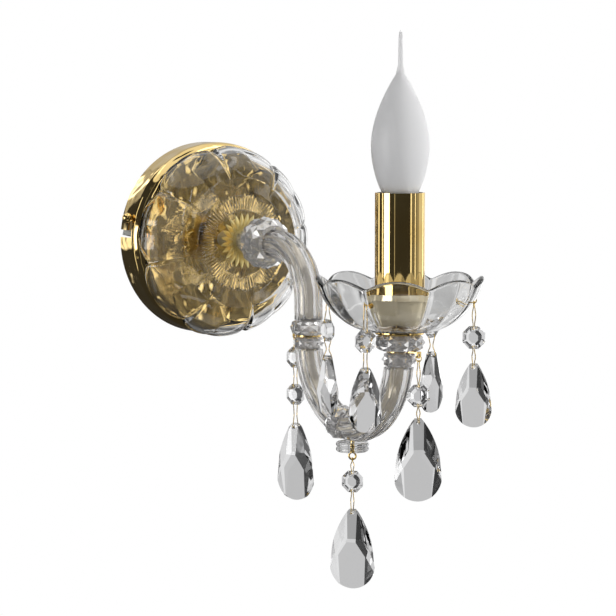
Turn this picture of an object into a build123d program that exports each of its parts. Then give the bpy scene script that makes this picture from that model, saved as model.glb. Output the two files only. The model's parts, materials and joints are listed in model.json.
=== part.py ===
from build123d import *
import os
from math import cos, pi, radians, sin, sqrt

# Crystal wall sconce with one candle arm. Millimetres.
# The wall is the plane Y = 0, the sconce stands out towards -Y and Z is up.
# The origin is the middle of the wall strap's back face.

# ---- wall strap and canopy ------------------------------------------------------------
canopy_radius = 65.0
canopy_depth = 24.0
canopy_wall = 1.0
canopy_shoulder = 8.0
strap_thickness = 1.5
strap_width = 22.0
strap_tab_depth = 15.5
strap_gap = 0.4
wall_hole_spacing = 76.0
wall_hole_radius = 2.6
lock_angle = 13.0
entry_angle = 4.0
rim_slot_width = 5.0
rim_screw_depth = 12.5
rim_screw_radius = 2.0
rim_ball_radius = 3.4
rim_ball_gap = 0.15
rim_ball_rise = 2.9
rim_screw_inside = 6.0
earth_screw_place = 24.0
earth_screw_radius = 2.0
earth_head_radius = 4.0
earth_head_height = 2.5
screw_slot_width = 1.0
screw_slot_depth = 1.2
terminal_length = 26.0
terminal_height = 14.0
terminal_depth = 10.0
terminal_poles = 3
terminal_screw_radius = 1.8
terminal_screw_depth = 3.4
terminal_round = 1.5

# ---- arm --------------------------------------------------------------------------------
arm_reach = 98.0
arm_bend_radius = 35.0
arm_drop = 58.0
arm_u_radius = 51.0
tube_radius = 5.0
tube_bore = 4.0
tube_back = 14.0
tube_top = -30.0
bore_clearance = 0.15
nut_width = 15.0
nut_height = 3.0
washer_radius = 9.0
washer_thickness = 1.0
wire_radius = 1.1
wire_spacing = 2.8
wire_entry = 2.0

# ---- glass cover of the arm ----------------------------------------------------------------
cover_radius = 9.0
cover_lobes = 8
cover_lobe_radius = 2.6
cover_core_radius = 7.5
cover_bore = 5.4
cover_lead = 10.0

# ---- glass dish over the canopy, with the gilt rosettes in front of it ------------------------
dish_inset = 1.0
dish_gap = 0.6
dish_depth = 26.4
dish_belly_inset = 5.4
dish_belly_depth = 13.2
dish_belly_slope = (0.8, 0.6)
dish_shoulder_radius = 44.0
dish_shoulder_drop = 1.6
dish_flat_radius = 34.0
dish_wall = 4.0
dish_petals = 8
dish_notch_angle = 10.7
dish_notch_depth = 6.5
dish_bore = 6.9
dish_sag = 1.7
dish_rib_count = 60
dish_rib_inner = 19.0
dish_rib_outer = 31.5
dish_rib_depth = 0.7
dish_rib_width = 0.8
flute_radius = 3.2
flute_stand = 1.9
notch_middle_share = 0.27
rosette_radius = 18.5
rosette_petals = 24
rosette_sheet = 0.7
rosette_hub_radius = 9.0
rosette_rise = 2.6
rosette_cut = 0.9
crown_radius = 17.0
crown_hub_radius = 7.5
crown_rise = 7.6
crown_cut = 0.45
petal_root_share = 0.2

# ---- crystal collars on the arm -----------------------------------------------------------------
root_collar_overlap = 2.9
root_collar_radius = 17.0
root_collar_neck = 7.2
root_neck_length = 1.6
root_shoulder_length = 9.0
root_front_round = 5.0
root_collar_lobes = 10
root_flute_radius = 3.4
root_recess_radius = 9.4
root_taper = 0.5
root_shoulder_bulge = 1.0
root_front_flat = 4.0
root_corner_share = 0.3
mid_collar_top = 46.5
mid_collar_radius = 12.0
mid_collar_small = 9.8
mid_collar_height = 9.4
mid_collar_low_height = 8.2
collar_lobes = 10
collar_flute_radius = 1.7
flute_centre_share = 0.35
collar_bore = 6.1
collar_round = 1.6
pendant_ring_thickness = 0.8
pendant_ring_radius = 8.0
ear_width = 4.0
ear_hole_depth = 2.0
ear_hole_radius = 0.9
mid_ear_reach = 15.8
top_ear_reach = 14.5
top_ear_angle = -73.0
bottom_collar_radius = 10.8
bottom_collar_half = 5.6
bottom_collar_place = 76.0
cover_joint_gap = 0.3

# ---- finial under the arm ---------------------------------------------------------------------------
finial_radius = 10.3
finial_height = 6.0
finial_groove = 1.0
finial_round_share = 3.6
finial_bore = 1.9
finial_gap = 0.2
eye_shank_radius = 1.6
eye_wire = 0.6
eye_radius = 2.2

# ---- candle: bobeche, cup, sleeve and lampholder -----------------------------------------------------
bobeche_radius = 50.0
bobeche_rim = -13.0
bobeche_floor = -44.3
bobeche_floor_radius = 23.0
bobeche_belly_radius = 41.0
bobeche_belly = -31.5
bobeche_belly_slope = (0.75, 0.65)
bobeche_inner_step = 1.0
bobeche_wall = 3.5
bobeche_petals = 8
bobeche_notch_angle = 31.0
bobeche_notch_depth = 5.7
bobeche_hole_height = -26.0
bobeche_hole_radius = 1.3
support_radius = 14.8
support_height = 2.6
support_round = 1.04
top_collar_radius = 14.4
top_collar_small = 9.9
top_collar_height = 9.6
top_collar_low_height = 9.2
sleeve_radius = 15.0
sleeve_wall = 1.2
sleeve_top = 38.0
sleeve_bottom = -25.0
cup_rim = -22.5
cup_wall = 0.7
cup_base_radius = 11.0
cup_gap = 0.3
cup_seat_width = 1.5
leg_radius = 6.5
leg_top = 2.0
holder_radius = 12.6
holder_height = 27.0
holder_floor = 4.0
holder_round = 1.0
shell_radius = 7.8
shell_bore = 7.2
shell_bottom = 10.0
shell_top = 28.0
shell_gap = 0.1
contact_width = 4.0
contact_length = 10.0
contact_height = 2.0
contact_round = 1.0

# ---- candle lamp with a drawn-out tip, screw cap of 14 mm --------------------------------------------
lamp_radius = 17.5
lamp_top = 134.0
lamp_widest = 66.0
lamp_neck_bottom = 33.0
lamp_neck_radius = 8.6
lamp_glass = 0.8
lamp_tip_radius = 1.6
lamp_tip_start = 108.0
lamp_tip_root = 5.0
lamp_tip_solid = 2.0
lamp_waist_share = 0.885
lamp_waist_lift = 1.0
lamp_upper_share = 0.76
lamp_root_share = 1.75
lamp_point_share = 0.7
cap_skirt_radius = 8.2
cap_thread_radius = 6.95
cap_root_radius = 6.6
cap_skirt_bottom = 29.5
cap_bottom = 12.0
cap_wall = 0.4
cap_thread_step = 1.0
cap_turns = 5
insulator_height = 2.4
insulator_tip_radius = 3.2
lamp_contact_radius = 2.3
lamp_contact_height = 1.2
stem_radius = 2.4
stem_top = 52.0
stem_flare = 1.0
filament_wire = 0.3
filament_span = 5.0
filament_sink = 1.0
filament_top = 66.0

# ---- crystal pendants --------------------------------------------------------------------------------
bead_sides = 8
bead_across = 13.4
bead_thickness = 6.0
bead_girdle = 1.0
bead_table = 3.3
bead_hole_offset = 5.0
bead_hole_radius = 1.1
link_wire = 0.35
link_half_width = 2.8
large_link_half_width = 3.2
link_slack = 0.3
ring_half_width = 1.5
ring_height = 4.0
ring_overlap = 0.8
pin_head_radius = 1.7
pin_reach = 48.0
pin_head_step = 0.6
pin_bend = 1.5
pin_leg = 9.0
pin_loop = 6.6
bobeche_link = 13.0
collar_bead = -82.8
collar_link = 11.3
arm_bead_high = -72.0
arm_bead_low = -96.0
arm_link = 16.3
finial_bead = -143.3
finial_link = 15.0
finial_facing = -50.0
front_facing = -50.0
right_facing = 16.0
left_facing = -4.0
back_facing = -91.0
collar_facing = -25.0
arm_facing = -68.0
small_drop_height = 38.0
small_drop_width = 22.0
small_drop_thickness = 9.0
large_drop_height = 50.0
large_drop_width = 28.6
large_drop_thickness = 11.0
drop_tip_half_width = 1.8
drop_hole_depth = 2.6
drop_hole_radius = 1.1
drop_shoulder_share = (0.71, 0.28)
drop_widest_share = 0.67
drop_centre_share = 0.6

# Facets of a pear drop: three points each, as shares of half width, half thickness and height.
DROP_MIDDLE_FACETS = [
    ((-1.0, 0.31, 0.0), (1.0, 0.31, 0.0), (0.0, 1.0, 0.40)),
    ((-1.0, 1.0, 0.40), (1.0, 1.0, 0.40), (0.0, 0.13, 1.0)),
]
DROP_SIDE_FACETS = [
    ((0.25, 1.0, 0.39), (0.70, 0.71, 0.60), (0.71, 0.13, 0.28)),
    ((0.70, 0.71, 0.60), (0.86, 0.08, 0.38), (0.97, 0.13, 0.76)),
    ((0.65, 0.60, 0.67), (0.57, 0.20, 0.95), (0.97, 0.13, 0.76)),
]

# ---- places worked out from the sizes above ----------------------------------------------------------
mid_line = arm_reach + arm_bend_radius
u_middle = mid_line + arm_u_radius
arm_projection = u_middle + arm_u_radius
cover_start = arm_reach - cover_lead
dish_radius = canopy_radius - dish_inset
dish_back = canopy_depth + dish_gap
dish_front = dish_back + dish_depth
dish_shoulder_front = dish_front - dish_shoulder_drop
arm_bottom = arm_drop + arm_u_radius
candle_axis = Axis((0, -arm_projection, 0), (0, 0, 1))
candle_plane = Plane(origin=(0, -arm_projection, 0), x_dir=(1, 0, 0), z_dir=(0, -1, 0))
arm_plane = Plane(origin=(0, 0, 0), x_dir=(0, 1, 0), z_dir=(1, 0, 0))
dish_axis = Axis((0, 0, -dish_sag), (0, 1, 0))
dish_plane = Plane(origin=(0, 0, -dish_sag), x_dir=(1, 0, 0), z_dir=(0, 0, 1))

os.makedirs("parts", exist_ok=True)


def save(name, part):
    """Writes one sub-part under its node name."""
    part.label = name
    export_step(part, f"parts/{name}.step")


def wheel_plane(angle, distance=0.0, height=0.0):
    """A plane that faces outwards from the wall's normal axis, at that angle above +X."""
    out = Vector(cos(radians(angle)), 0, sin(radians(angle)))
    origin = out * distance + Vector(0, -height, 0)
    return Plane(origin=origin, x_dir=(0, 1, 0), z_dir=out)


def u_point(turn):
    """A point of the arm's centre line, turned by that angle round the lower bend."""
    across = -u_middle + arm_u_radius * cos(radians(turn))
    return Vector(0, across, -arm_drop - arm_u_radius * sin(radians(turn)))


def u_tangent(turn):
    return Vector(0, -sin(radians(turn)), -cos(radians(turn)))


# ---- wall strap with its bent ends -------------------------------------------------------------------
strap_reach = sqrt((canopy_radius - canopy_wall) ** 2 - (strap_width / 2) ** 2) - strap_gap
strap_along = Vector(cos(radians(lock_angle)), 0, -sin(radians(lock_angle)))
strap_plane = Plane(origin=(0, 0, 0), x_dir=strap_along, z_dir=(0, -1, 0))
screw_line = Plane(origin=(0, -rim_screw_depth, 0), x_dir=(0, 1, 0), z_dir=strap_along)
with BuildPart() as wall_strap:
    with BuildSketch(strap_plane):
        Rectangle(2 * strap_reach, strap_width)
        with GridLocations(wall_hole_spacing, 0, 2, 1):
            Circle(wall_hole_radius, mode=Mode.SUBTRACT)
        with Locations((earth_screw_place, 0)):
            Circle(earth_screw_radius, mode=Mode.SUBTRACT)
    extrude(amount=strap_thickness)
    with BuildSketch(strap_plane):
        with GridLocations(2 * strap_reach - strap_thickness, 0, 2, 1):
            Rectangle(strap_thickness, strap_width)
    extrude(amount=strap_tab_depth)
    with BuildSketch(screw_line):
        Circle(rim_screw_radius)
    extrude(amount=strap_reach, both=True, mode=Mode.SUBTRACT)
save("wall_strap", wall_strap.part)

ball_seat = canopy_radius + rim_ball_gap
balls = []
for angle in (180 - lock_angle, -lock_angle):
    with BuildPart() as ball:
        with Locations(wheel_plane(angle, ball_seat + rim_ball_rise, rim_screw_depth).location):
            Sphere(rim_ball_radius)
        split(bisect_by=wheel_plane(angle, ball_seat, rim_screw_depth), keep=Keep.TOP)
    balls.append(ball.part)
with BuildPart() as rim_screws:
    for angle, ball_part in zip((180 - lock_angle, -lock_angle), balls):
        with BuildSketch(wheel_plane(angle, strap_reach - rim_screw_inside, rim_screw_depth)):
            Circle(rim_screw_radius)
        extrude(amount=ball_seat + rim_ball_radius - strap_reach + rim_screw_inside)
        add(ball_part)
save("rim_screws", rim_screws.part)

with BuildPart() as earth_screw:
    with BuildSketch(strap_plane):
        with Locations((earth_screw_place, 0)):
            Circle(earth_screw_radius)
    extrude(amount=strap_thickness)
    with BuildSketch(strap_plane.offset(strap_thickness)):
        with Locations((earth_screw_place, 0)):
            Circle(earth_head_radius)
    extrude(amount=earth_head_height)
    with BuildSketch(strap_plane.offset(strap_thickness + earth_head_height)):
        with Locations((earth_screw_place, 0)):
            Rectangle(2 * earth_head_radius, screw_slot_width)
    extrude(amount=-screw_slot_depth, mode=Mode.SUBTRACT)
save("earth_screw", earth_screw.part)

terminal_pitch = terminal_length / terminal_poles
with BuildPart() as terminal_block:
    with BuildSketch(strap_plane.offset(strap_thickness)):
        RectangleRounded(terminal_length, terminal_height, terminal_round)
    extrude(amount=terminal_depth)
    with BuildSketch(strap_plane.offset(strap_thickness + terminal_depth)):
        with GridLocations(terminal_pitch, terminal_height / 2, terminal_poles, 2):
            Circle(terminal_screw_radius)
    extrude(amount=-terminal_screw_depth, mode=Mode.SUBTRACT)
save("terminal_block", terminal_block.part)

# ---- canopy: one spun dish with a bayonet slot at each end of the strap ------------------------------
shoulder_centre = canopy_radius - canopy_shoulder
canopy_shoulder_back = canopy_depth - canopy_shoulder
with BuildPart() as canopy:
    with BuildSketch(Plane.XY):
        with BuildLine():
            front = Line((tube_radius + bore_clearance, -canopy_depth), (shoulder_centre, -canopy_depth))
            CenterArc((shoulder_centre, -canopy_shoulder_back), canopy_shoulder, 270, 90)
            Line((canopy_radius, -canopy_shoulder_back), (canopy_radius, 0))
            Line((canopy_radius, 0), (canopy_radius - canopy_wall, 0))
            Line((canopy_radius - canopy_wall, 0), (canopy_radius - canopy_wall, -canopy_shoulder_back))
            CenterArc((shoulder_centre, -canopy_shoulder_back), canopy_shoulder - canopy_wall, 0, -90)
            inner = Line((shoulder_centre, canopy_wall - canopy_depth), (front @ 0 + (0, canopy_wall)))
            Line(inner @ 1, front @ 0)
        make_face()
    revolve(axis=Axis.Y)
    for turned in (0, 180):
        with BuildSketch(wheel_plane(turned - entry_angle, shoulder_centre)):
            with Locations((-rim_screw_depth / 2, 0)):
                Rectangle(rim_screw_depth + rim_slot_width, rim_slot_width)
        extrude(amount=2 * canopy_shoulder, mode=Mode.SUBTRACT)
        swing = radians(lock_angle - entry_angle)
        with BuildSketch(wheel_plane(turned - (lock_angle + entry_angle) / 2, shoulder_centre)):
            with Locations((-rim_screw_depth, 0)):
                SlotOverall(canopy_radius * swing + rim_slot_width, rim_slot_width, rotation=90)
        extrude(amount=2 * canopy_shoulder, mode=Mode.SUBTRACT)
save("canopy", canopy.part)

# ---- petalled bowls: the dish opens towards the wall and the bobeche opens upwards -------------------


def petal_planes(origin, opening, start, first_angle, petals):
    """One plane for each notch: it faces outwards, and its +Y is the way the bowl opens."""
    across = opening.cross(start)
    planes = []
    for step in range(petals):
        angle = radians(first_angle + 360 / petals * step)
        out = start * cos(angle) + across * sin(angle)
        planes.append(Plane(origin=origin, x_dir=opening.cross(out), z_dir=out))
    return planes


def petal_notch(half_pitch, rim, depth):
    """The region cut away between two petals, with a sharp notch between two rounded crests."""
    middle = (half_pitch / 2, rim - notch_middle_share * depth)
    ThreePointArc((0, rim - depth), middle, (half_pitch, rim))
    Polyline((half_pitch, rim), (half_pitch, rim + depth), (-half_pitch, rim + depth), (-half_pitch, rim))
    ThreePointArc((-half_pitch, rim), (-middle[0], middle[1]), (0, rim - depth))


# ---- glass dish, with a sunburst of fine ribs pressed into its face ----------------------------------
dish_inner_front = dish_front - dish_wall
dish_side = (dish_radius - dish_belly_inset, -dish_back - dish_belly_depth)
dish_lean, dish_rise = dish_belly_slope
dish_inner_shoulder = (dish_shoulder_radius, dish_wall - dish_shoulder_front)
dish_notches = petal_planes(Vector(0, 0, -dish_sag), Vector(0, 1, 0), Vector(0, 0, 1),
                            90 - dish_notch_angle, dish_petals)
with BuildPart() as glass_dish:
    with BuildSketch(dish_plane):
        with BuildLine():
            ThreePointArc((dish_radius, -dish_back), dish_side, (dish_shoulder_radius, -dish_shoulder_front))
            Polyline((dish_shoulder_radius, -dish_shoulder_front), (dish_flat_radius, -dish_front),
                     (dish_bore, -dish_front), (dish_bore, -dish_inner_front),
                     (dish_flat_radius, -dish_inner_front), dish_inner_shoulder)
            ThreePointArc(dish_inner_shoulder,
                          (dish_side[0] - dish_lean * dish_wall, dish_side[1] + dish_rise * dish_wall),
                          (dish_radius - dish_wall, -dish_back))
            Line((dish_radius - dish_wall, -dish_back), (dish_radius, -dish_back))
        make_face()
    revolve(axis=dish_axis)
    with BuildSketch(*dish_notches):
        with BuildLine():
            petal_notch(dish_radius * sin(pi / dish_petals), -dish_back, dish_notch_depth)
        make_face()
    extrude(amount=2 * dish_radius, mode=Mode.SUBTRACT)
    for notch in dish_notches:
        meridian = Plane(origin=notch.origin, x_dir=notch.z_dir, z_dir=-notch.x_dir)
        with BuildLine(meridian) as flute:
            ThreePointArc((dish_radius + flute_stand, -dish_back),
                          (dish_side[0] + dish_lean * flute_stand, dish_side[1] - dish_rise * flute_stand),
                          (dish_shoulder_radius + flute_stand, -dish_shoulder_front - flute_stand))
        with BuildSketch(Plane(origin=flute.line @ 0, z_dir=flute.line % 0)):
            Circle(flute_radius)
        sweep(path=flute.line, mode=Mode.SUBTRACT)
    with BuildSketch(Plane(origin=(0, -dish_front, -dish_sag), x_dir=(1, 0, 0), z_dir=(0, -1, 0))):
        with PolarLocations((dish_rib_inner + dish_rib_outer) / 2, dish_rib_count):
            Rectangle(dish_rib_outer - dish_rib_inner, dish_rib_width)
    extrude(amount=-dish_rib_depth, mode=Mode.SUBTRACT)
save("glass_dish", glass_dish.part)

# ---- gilt rosettes: a flat star and a crown that holds the root collar -------------------------------
front_plane = Plane(origin=(0, 0, 0), x_dir=(1, 0, 0), z_dir=(0, -1, 0))


def petal_ring(back, hub, outer, rise, sheet, petals, cut_share):
    """A stamped sheet with pointed petals that rise from its hub towards the room."""
    cut_root = hub + petal_root_share * (outer - hub)
    cut_end = outer + sheet
    with BuildPart() as ring:
        with BuildSketch(Plane.XY):
            with BuildLine():
                Polyline((tube_radius + bore_clearance, -back), (hub, -back), (outer, -back - rise),
                         (outer, -back - rise - sheet), (hub, -back - sheet),
                         (tube_radius + bore_clearance, -back - sheet), close=True)
            make_face()
        revolve(axis=Axis.Y)
        half = outer * sin(pi / petals) * cut_share
        with BuildSketch(front_plane.offset(back - sheet)):
            with PolarLocations(0, petals):
                with BuildLine():
                    Polyline((cut_root, 0), (cut_end, half), (cut_end, -half), close=True)
                make_face()
        extrude(amount=rise + 3 * sheet, mode=Mode.SUBTRACT)
    return ring.part


crown_back = dish_front + rosette_sheet
collar_back = crown_back + rosette_sheet
save("rosette_star", petal_ring(dish_front, rosette_hub_radius, rosette_radius, rosette_rise,
                                rosette_sheet, rosette_petals, rosette_cut))
save("rosette_crown", petal_ring(crown_back, crown_hub_radius, crown_radius, crown_rise,
                                 rosette_sheet, rosette_petals, crown_cut))

# ---- arm tube, its nuts and the two wires inside it --------------------------------------------------
with BuildPart() as arm_tube:
    with BuildLine(arm_plane) as tube_line:
        Line((-tube_back, 0), (-arm_reach, 0))
        CenterArc((-arm_reach, -arm_bend_radius), arm_bend_radius, 90, 90)
        Line((-mid_line, -arm_bend_radius), (-mid_line, -arm_drop))
        CenterArc((-u_middle, -arm_drop), arm_u_radius, 0, -180)
        Line((-arm_projection, -arm_drop), (-arm_projection, tube_top))
    with BuildSketch(Plane(origin=(0, -tube_back, 0), x_dir=(1, 0, 0), z_dir=(0, -1, 0))):
        Circle(tube_radius)
        Circle(tube_bore, mode=Mode.SUBTRACT)
    sweep(path=tube_line.line)
    with BuildSketch(Plane(origin=(0, -u_middle, -arm_bottom), x_dir=(1, 0, 0), z_dir=(0, 0, -1))):
        Circle(eye_shank_radius)
    extrude(amount=2 * tube_radius, mode=Mode.SUBTRACT)
save("arm_tube", arm_tube.part)

terminal_front = strap_thickness + terminal_depth
wires = []
for across in (wire_spacing / 2, -wire_spacing / 2):
    with BuildPart() as wire:
        with BuildLine(Plane(origin=(across, 0, 0), x_dir=(0, 1, 0), z_dir=(1, 0, 0))) as wire_line:
            Line((-terminal_front, 0), (-arm_reach, 0))
            CenterArc((-arm_reach, -arm_bend_radius), arm_bend_radius, 90, 90)
            Line((-mid_line, -arm_bend_radius), (-mid_line, -arm_drop))
            CenterArc((-u_middle, -arm_drop), arm_u_radius, 0, -180)
            Line((-arm_projection, -arm_drop), (-arm_projection, leg_top + wire_entry))
        with BuildSketch(Plane(origin=(across, -terminal_front, 0), x_dir=(1, 0, 0), z_dir=(0, -1, 0))):
            Circle(wire_radius)
        sweep(path=wire_line.line)
    wires.append(wire.part)
with BuildPart() as supply_wires:
    for wire_part in wires:
        add(wire_part)
save("supply_wires", supply_wires.part)

nut_corner = nut_width / sqrt(3)
canopy_back = canopy_depth - canopy_wall
with BuildPart() as root_washer:
    with BuildSketch(front_plane.offset(canopy_back - washer_thickness)):
        Circle(washer_radius)
        Circle(tube_radius + bore_clearance, mode=Mode.SUBTRACT)
    extrude(amount=washer_thickness)
save("root_washer", root_washer.part)

with BuildPart() as root_nut:
    with BuildSketch(front_plane.offset(canopy_back - washer_thickness - nut_height)):
        RegularPolygon(nut_corner, 6)
        Circle(tube_radius, mode=Mode.SUBTRACT)
    extrude(amount=nut_height)
save("root_nut", root_nut.part)

# ---- glass covers of the arm: three lobed tubes threaded over it -------------------------------------
support_bottom = bobeche_floor - support_height
top_ring_top = support_bottom - top_collar_height
top_ring_bottom = top_ring_top - pendant_ring_thickness
top_collar_bottom = top_ring_bottom - top_collar_low_height
mid_ring_top = -mid_collar_top - mid_collar_height
mid_ring_bottom = mid_ring_top - pendant_ring_thickness
mid_collar_bottom = mid_ring_bottom - mid_collar_low_height
collar_middle = u_point(bottom_collar_place)
collar_along = u_tangent(bottom_collar_place)
collar_frame = Plane(origin=collar_middle, x_dir=(1, 0, 0), z_dir=collar_along)
collar_clear = bottom_collar_half + cover_joint_gap


def cover_section():
    """The lobed section of a cover, with the bore for the brass tube."""
    Circle(cover_core_radius)
    with PolarLocations(cover_radius - cover_lobe_radius, cover_lobes):
        Circle(cover_lobe_radius)
    Circle(cover_bore, mode=Mode.SUBTRACT)


with BuildPart() as arm_cover_upper:
    with BuildLine(arm_plane) as upper_line:
        Line((-cover_start, 0), (-arm_reach, 0))
        CenterArc((-arm_reach, -arm_bend_radius), arm_bend_radius, 90, 90)
        Line((-mid_line, -arm_bend_radius), (-mid_line, cover_joint_gap - mid_collar_top))
    with BuildSketch(Plane(origin=(0, -cover_start, 0), x_dir=(1, 0, 0), z_dir=(0, -1, 0))):
        cover_section()
    sweep(path=upper_line.line)
save("arm_cover_upper", arm_cover_upper.part)

with BuildPart() as arm_cover_lower:
    with BuildLine(arm_plane) as lower_line:
        CenterArc((-u_middle, -arm_drop), arm_u_radius, 0, -bottom_collar_place)
    with BuildSketch(Plane(origin=u_point(0), x_dir=(1, 0, 0), z_dir=u_tangent(0))):
        cover_section()
    sweep(path=lower_line.line)
    split(bisect_by=Plane.XY.offset(mid_collar_bottom - cover_joint_gap), keep=Keep.BOTTOM)
    split(bisect_by=collar_frame.offset(-collar_clear), keep=Keep.BOTTOM)
save("arm_cover_lower", arm_cover_lower.part)

with BuildPart() as arm_cover_rising:
    with BuildLine(arm_plane) as rising_line:
        CenterArc((-u_middle, -arm_drop), arm_u_radius, -bottom_collar_place, bottom_collar_place - 180)
    with BuildSketch(collar_frame):
        cover_section()
    sweep(path=rising_line.line)
    split(bisect_by=Plane.XY.offset(top_collar_bottom - cover_joint_gap), keep=Keep.BOTTOM)
    split(bisect_by=collar_frame.offset(collar_clear), keep=Keep.TOP)
    with BuildSketch(Plane(origin=(0, -u_middle, -arm_bottom), x_dir=(1, 0, 0), z_dir=(0, 0, -1))):
        Circle(finial_bore)
    extrude(amount=2 * cover_radius, mode=Mode.SUBTRACT)
save("arm_cover_rising", arm_cover_rising.part)

# ---- crystal collars ---------------------------------------------------------------------------------
collar_front = cover_start + root_collar_overlap
shoulder_y = collar_back + root_shoulder_length
neck_end = collar_back + root_neck_length
recess_floor = cover_start - cover_joint_gap
shoulder_radius = root_collar_radius - root_taper
shoulder_middle = ((root_collar_neck + root_collar_radius) / 2,
                   root_shoulder_bulge - (neck_end + shoulder_y) / 2)
front_flat_radius = root_collar_radius - root_front_flat
front_corner = (root_collar_radius - root_corner_share * root_front_flat,
                root_corner_share * root_front_round - collar_front)
with BuildPart() as root_collar:
    with BuildSketch(Plane.XY):
        with BuildLine():
            Polyline((tube_radius + bore_clearance, -collar_back), (root_collar_neck, -collar_back),
                     (root_collar_neck, -neck_end))
            ThreePointArc((root_collar_neck, -neck_end), shoulder_middle, (shoulder_radius, -shoulder_y))
            Line((shoulder_radius, -shoulder_y), (root_collar_radius, root_front_round - collar_front))
            ThreePointArc((root_collar_radius, root_front_round - collar_front), front_corner,
                          (front_flat_radius, -collar_front))
            Polyline((front_flat_radius, -collar_front),
                     (root_recess_radius, -collar_front), (root_recess_radius, -recess_floor),
                     (tube_radius + bore_clearance, -recess_floor),
                     (tube_radius + bore_clearance, -collar_back))
        make_face()
    revolve(axis=Axis.Y)
    with BuildSketch(front_plane.offset(neck_end)):
        with PolarLocations(root_collar_radius + flute_centre_share * root_flute_radius, root_collar_lobes):
            Circle(root_flute_radius)
    extrude(amount=collar_front - neck_end, mode=Mode.SUBTRACT)
save("root_collar", root_collar.part)


def fluted_ring(frame, low, high, radius, lobes):
    """A crystal ring threaded on the arm: a rounded rim with upright flutes all round."""
    section = Plane(origin=frame.origin, x_dir=frame.x_dir, z_dir=-frame.y_dir)
    edge = radius - collar_round
    with BuildPart() as ring:
        with BuildSketch(section):
            with BuildLine():
                Line((collar_bore, low), (edge, low))
                ThreePointArc((edge, low), (radius, (low + high) / 2), (edge, high))
                Polyline((edge, high), (collar_bore, high), (collar_bore, low))
            make_face()
        revolve(axis=Axis(frame.origin, frame.z_dir))
        with BuildSketch(frame.offset(low)):
            with PolarLocations(radius + flute_centre_share * collar_flute_radius, lobes):
                Circle(collar_flute_radius)
        extrude(amount=high - low, mode=Mode.SUBTRACT)
    return ring.part


def pendant_ring(frame, top, reach, angle):
    """A thin brass ring between two collars, with an ear bent down to carry a pendant."""
    out = Vector(cos(radians(angle)), sin(radians(angle)), 0)
    along = Vector(-out.Y, out.X, 0)
    ear_face = frame.origin + out * (reach - pendant_ring_thickness / 2) + Vector(0, 0, top)
    with BuildPart() as ring:
        with BuildSketch(frame.offset(top - pendant_ring_thickness)):
            Circle(pendant_ring_radius)
            with Locations(Location((0, 0, 0), angle)):
                Rectangle(reach + pendant_ring_thickness / 2, ear_width, align=(Align.MIN, Align.CENTER))
            Circle(tube_radius + bore_clearance, mode=Mode.SUBTRACT)
        extrude(amount=pendant_ring_thickness)
        with BuildSketch(Plane(origin=ear_face, x_dir=along, z_dir=out)):
            with Locations((0, -ear_hole_depth / 2)):
                Rectangle(ear_width, ear_hole_depth)
            with Locations((0, -ear_hole_depth)):
                Circle(ear_width / 2)
                Circle(ear_hole_radius, mode=Mode.SUBTRACT)
        extrude(amount=pendant_ring_thickness)
    return ring.part


mid_frame = Plane(origin=(0, -mid_line, 0))
top_frame = Plane(origin=(0, -arm_projection, 0))
save("mid_collar_upper", fluted_ring(mid_frame, mid_ring_top, -mid_collar_top,
                                     mid_collar_radius, collar_lobes))
save("mid_pendant_ring", pendant_ring(mid_frame, mid_ring_top, mid_ear_reach, 90))
save("mid_collar_lower", fluted_ring(mid_frame, mid_collar_bottom, mid_ring_bottom,
                                     mid_collar_small, collar_lobes))
save("bottom_collar", fluted_ring(collar_frame, -bottom_collar_half, bottom_collar_half,
                                  bottom_collar_radius, collar_lobes))
save("top_collar_upper", fluted_ring(top_frame, top_ring_top, support_bottom,
                                     top_collar_radius, collar_lobes))
save("top_pendant_ring", pendant_ring(top_frame, top_ring_top, top_ear_reach, top_ear_angle))
save("top_collar_lower", fluted_ring(top_frame, top_collar_bottom, top_ring_bottom,
                                     top_collar_small, collar_lobes))

# ---- finial disc under the lower bend, held by an eye screw ------------------------------------------
finial_top = -arm_bottom - cover_radius - finial_gap
finial_bottom = finial_top - finial_height
finial_axis = Axis((0, -u_middle, 0), (0, 0, 1))
finial_side = Plane(origin=(0, -u_middle, 0), x_dir=(1, 0, 0), z_dir=(0, -1, 0))
finial_middle = (finial_top + finial_bottom) / 2
finial_round = finial_height / finial_round_share
finial_waist = finial_radius - finial_groove
with BuildPart() as finial_disc:
    with BuildSketch(finial_side):
        with BuildLine():
            Line((finial_bore, finial_bottom), (finial_waist, finial_bottom))
            RadiusArc((finial_waist, finial_bottom), (finial_waist, finial_middle), -finial_round)
            RadiusArc((finial_waist, finial_middle), (finial_waist, finial_top), -finial_round)
            Polyline((finial_waist, finial_top), (finial_bore, finial_top), (finial_bore, finial_bottom))
        make_face()
    revolve(axis=finial_axis)
save("finial_disc", finial_disc.part)


def facing(azimuth):
    """The horizontal direction a pendant faces: 0 is straight into the room, positive towards +X."""
    return Vector(sin(radians(azimuth)), -cos(radians(azimuth)), 0)


up = Vector(0, 0, 1)
eye_height = finial_bottom - eye_radius - eye_wire - finial_gap
eye_facing = facing(finial_facing)
eye_centre = Vector(0, -u_middle, eye_height)
shank_top = -arm_bottom - tube_bore + eye_shank_radius / 2
with BuildPart() as finial_eye:
    with BuildSketch(Plane(origin=(0, -u_middle, shank_top), x_dir=(1, 0, 0), z_dir=(0, 0, -1))):
        Circle(eye_shank_radius - finial_gap)
    extrude(amount=shank_top - eye_height - eye_radius)
    with Locations(Plane(origin=eye_centre, x_dir=eye_facing.cross(up), z_dir=eye_facing).location):
        Torus(eye_radius, eye_wire)
save("finial_eye", finial_eye.part)

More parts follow.
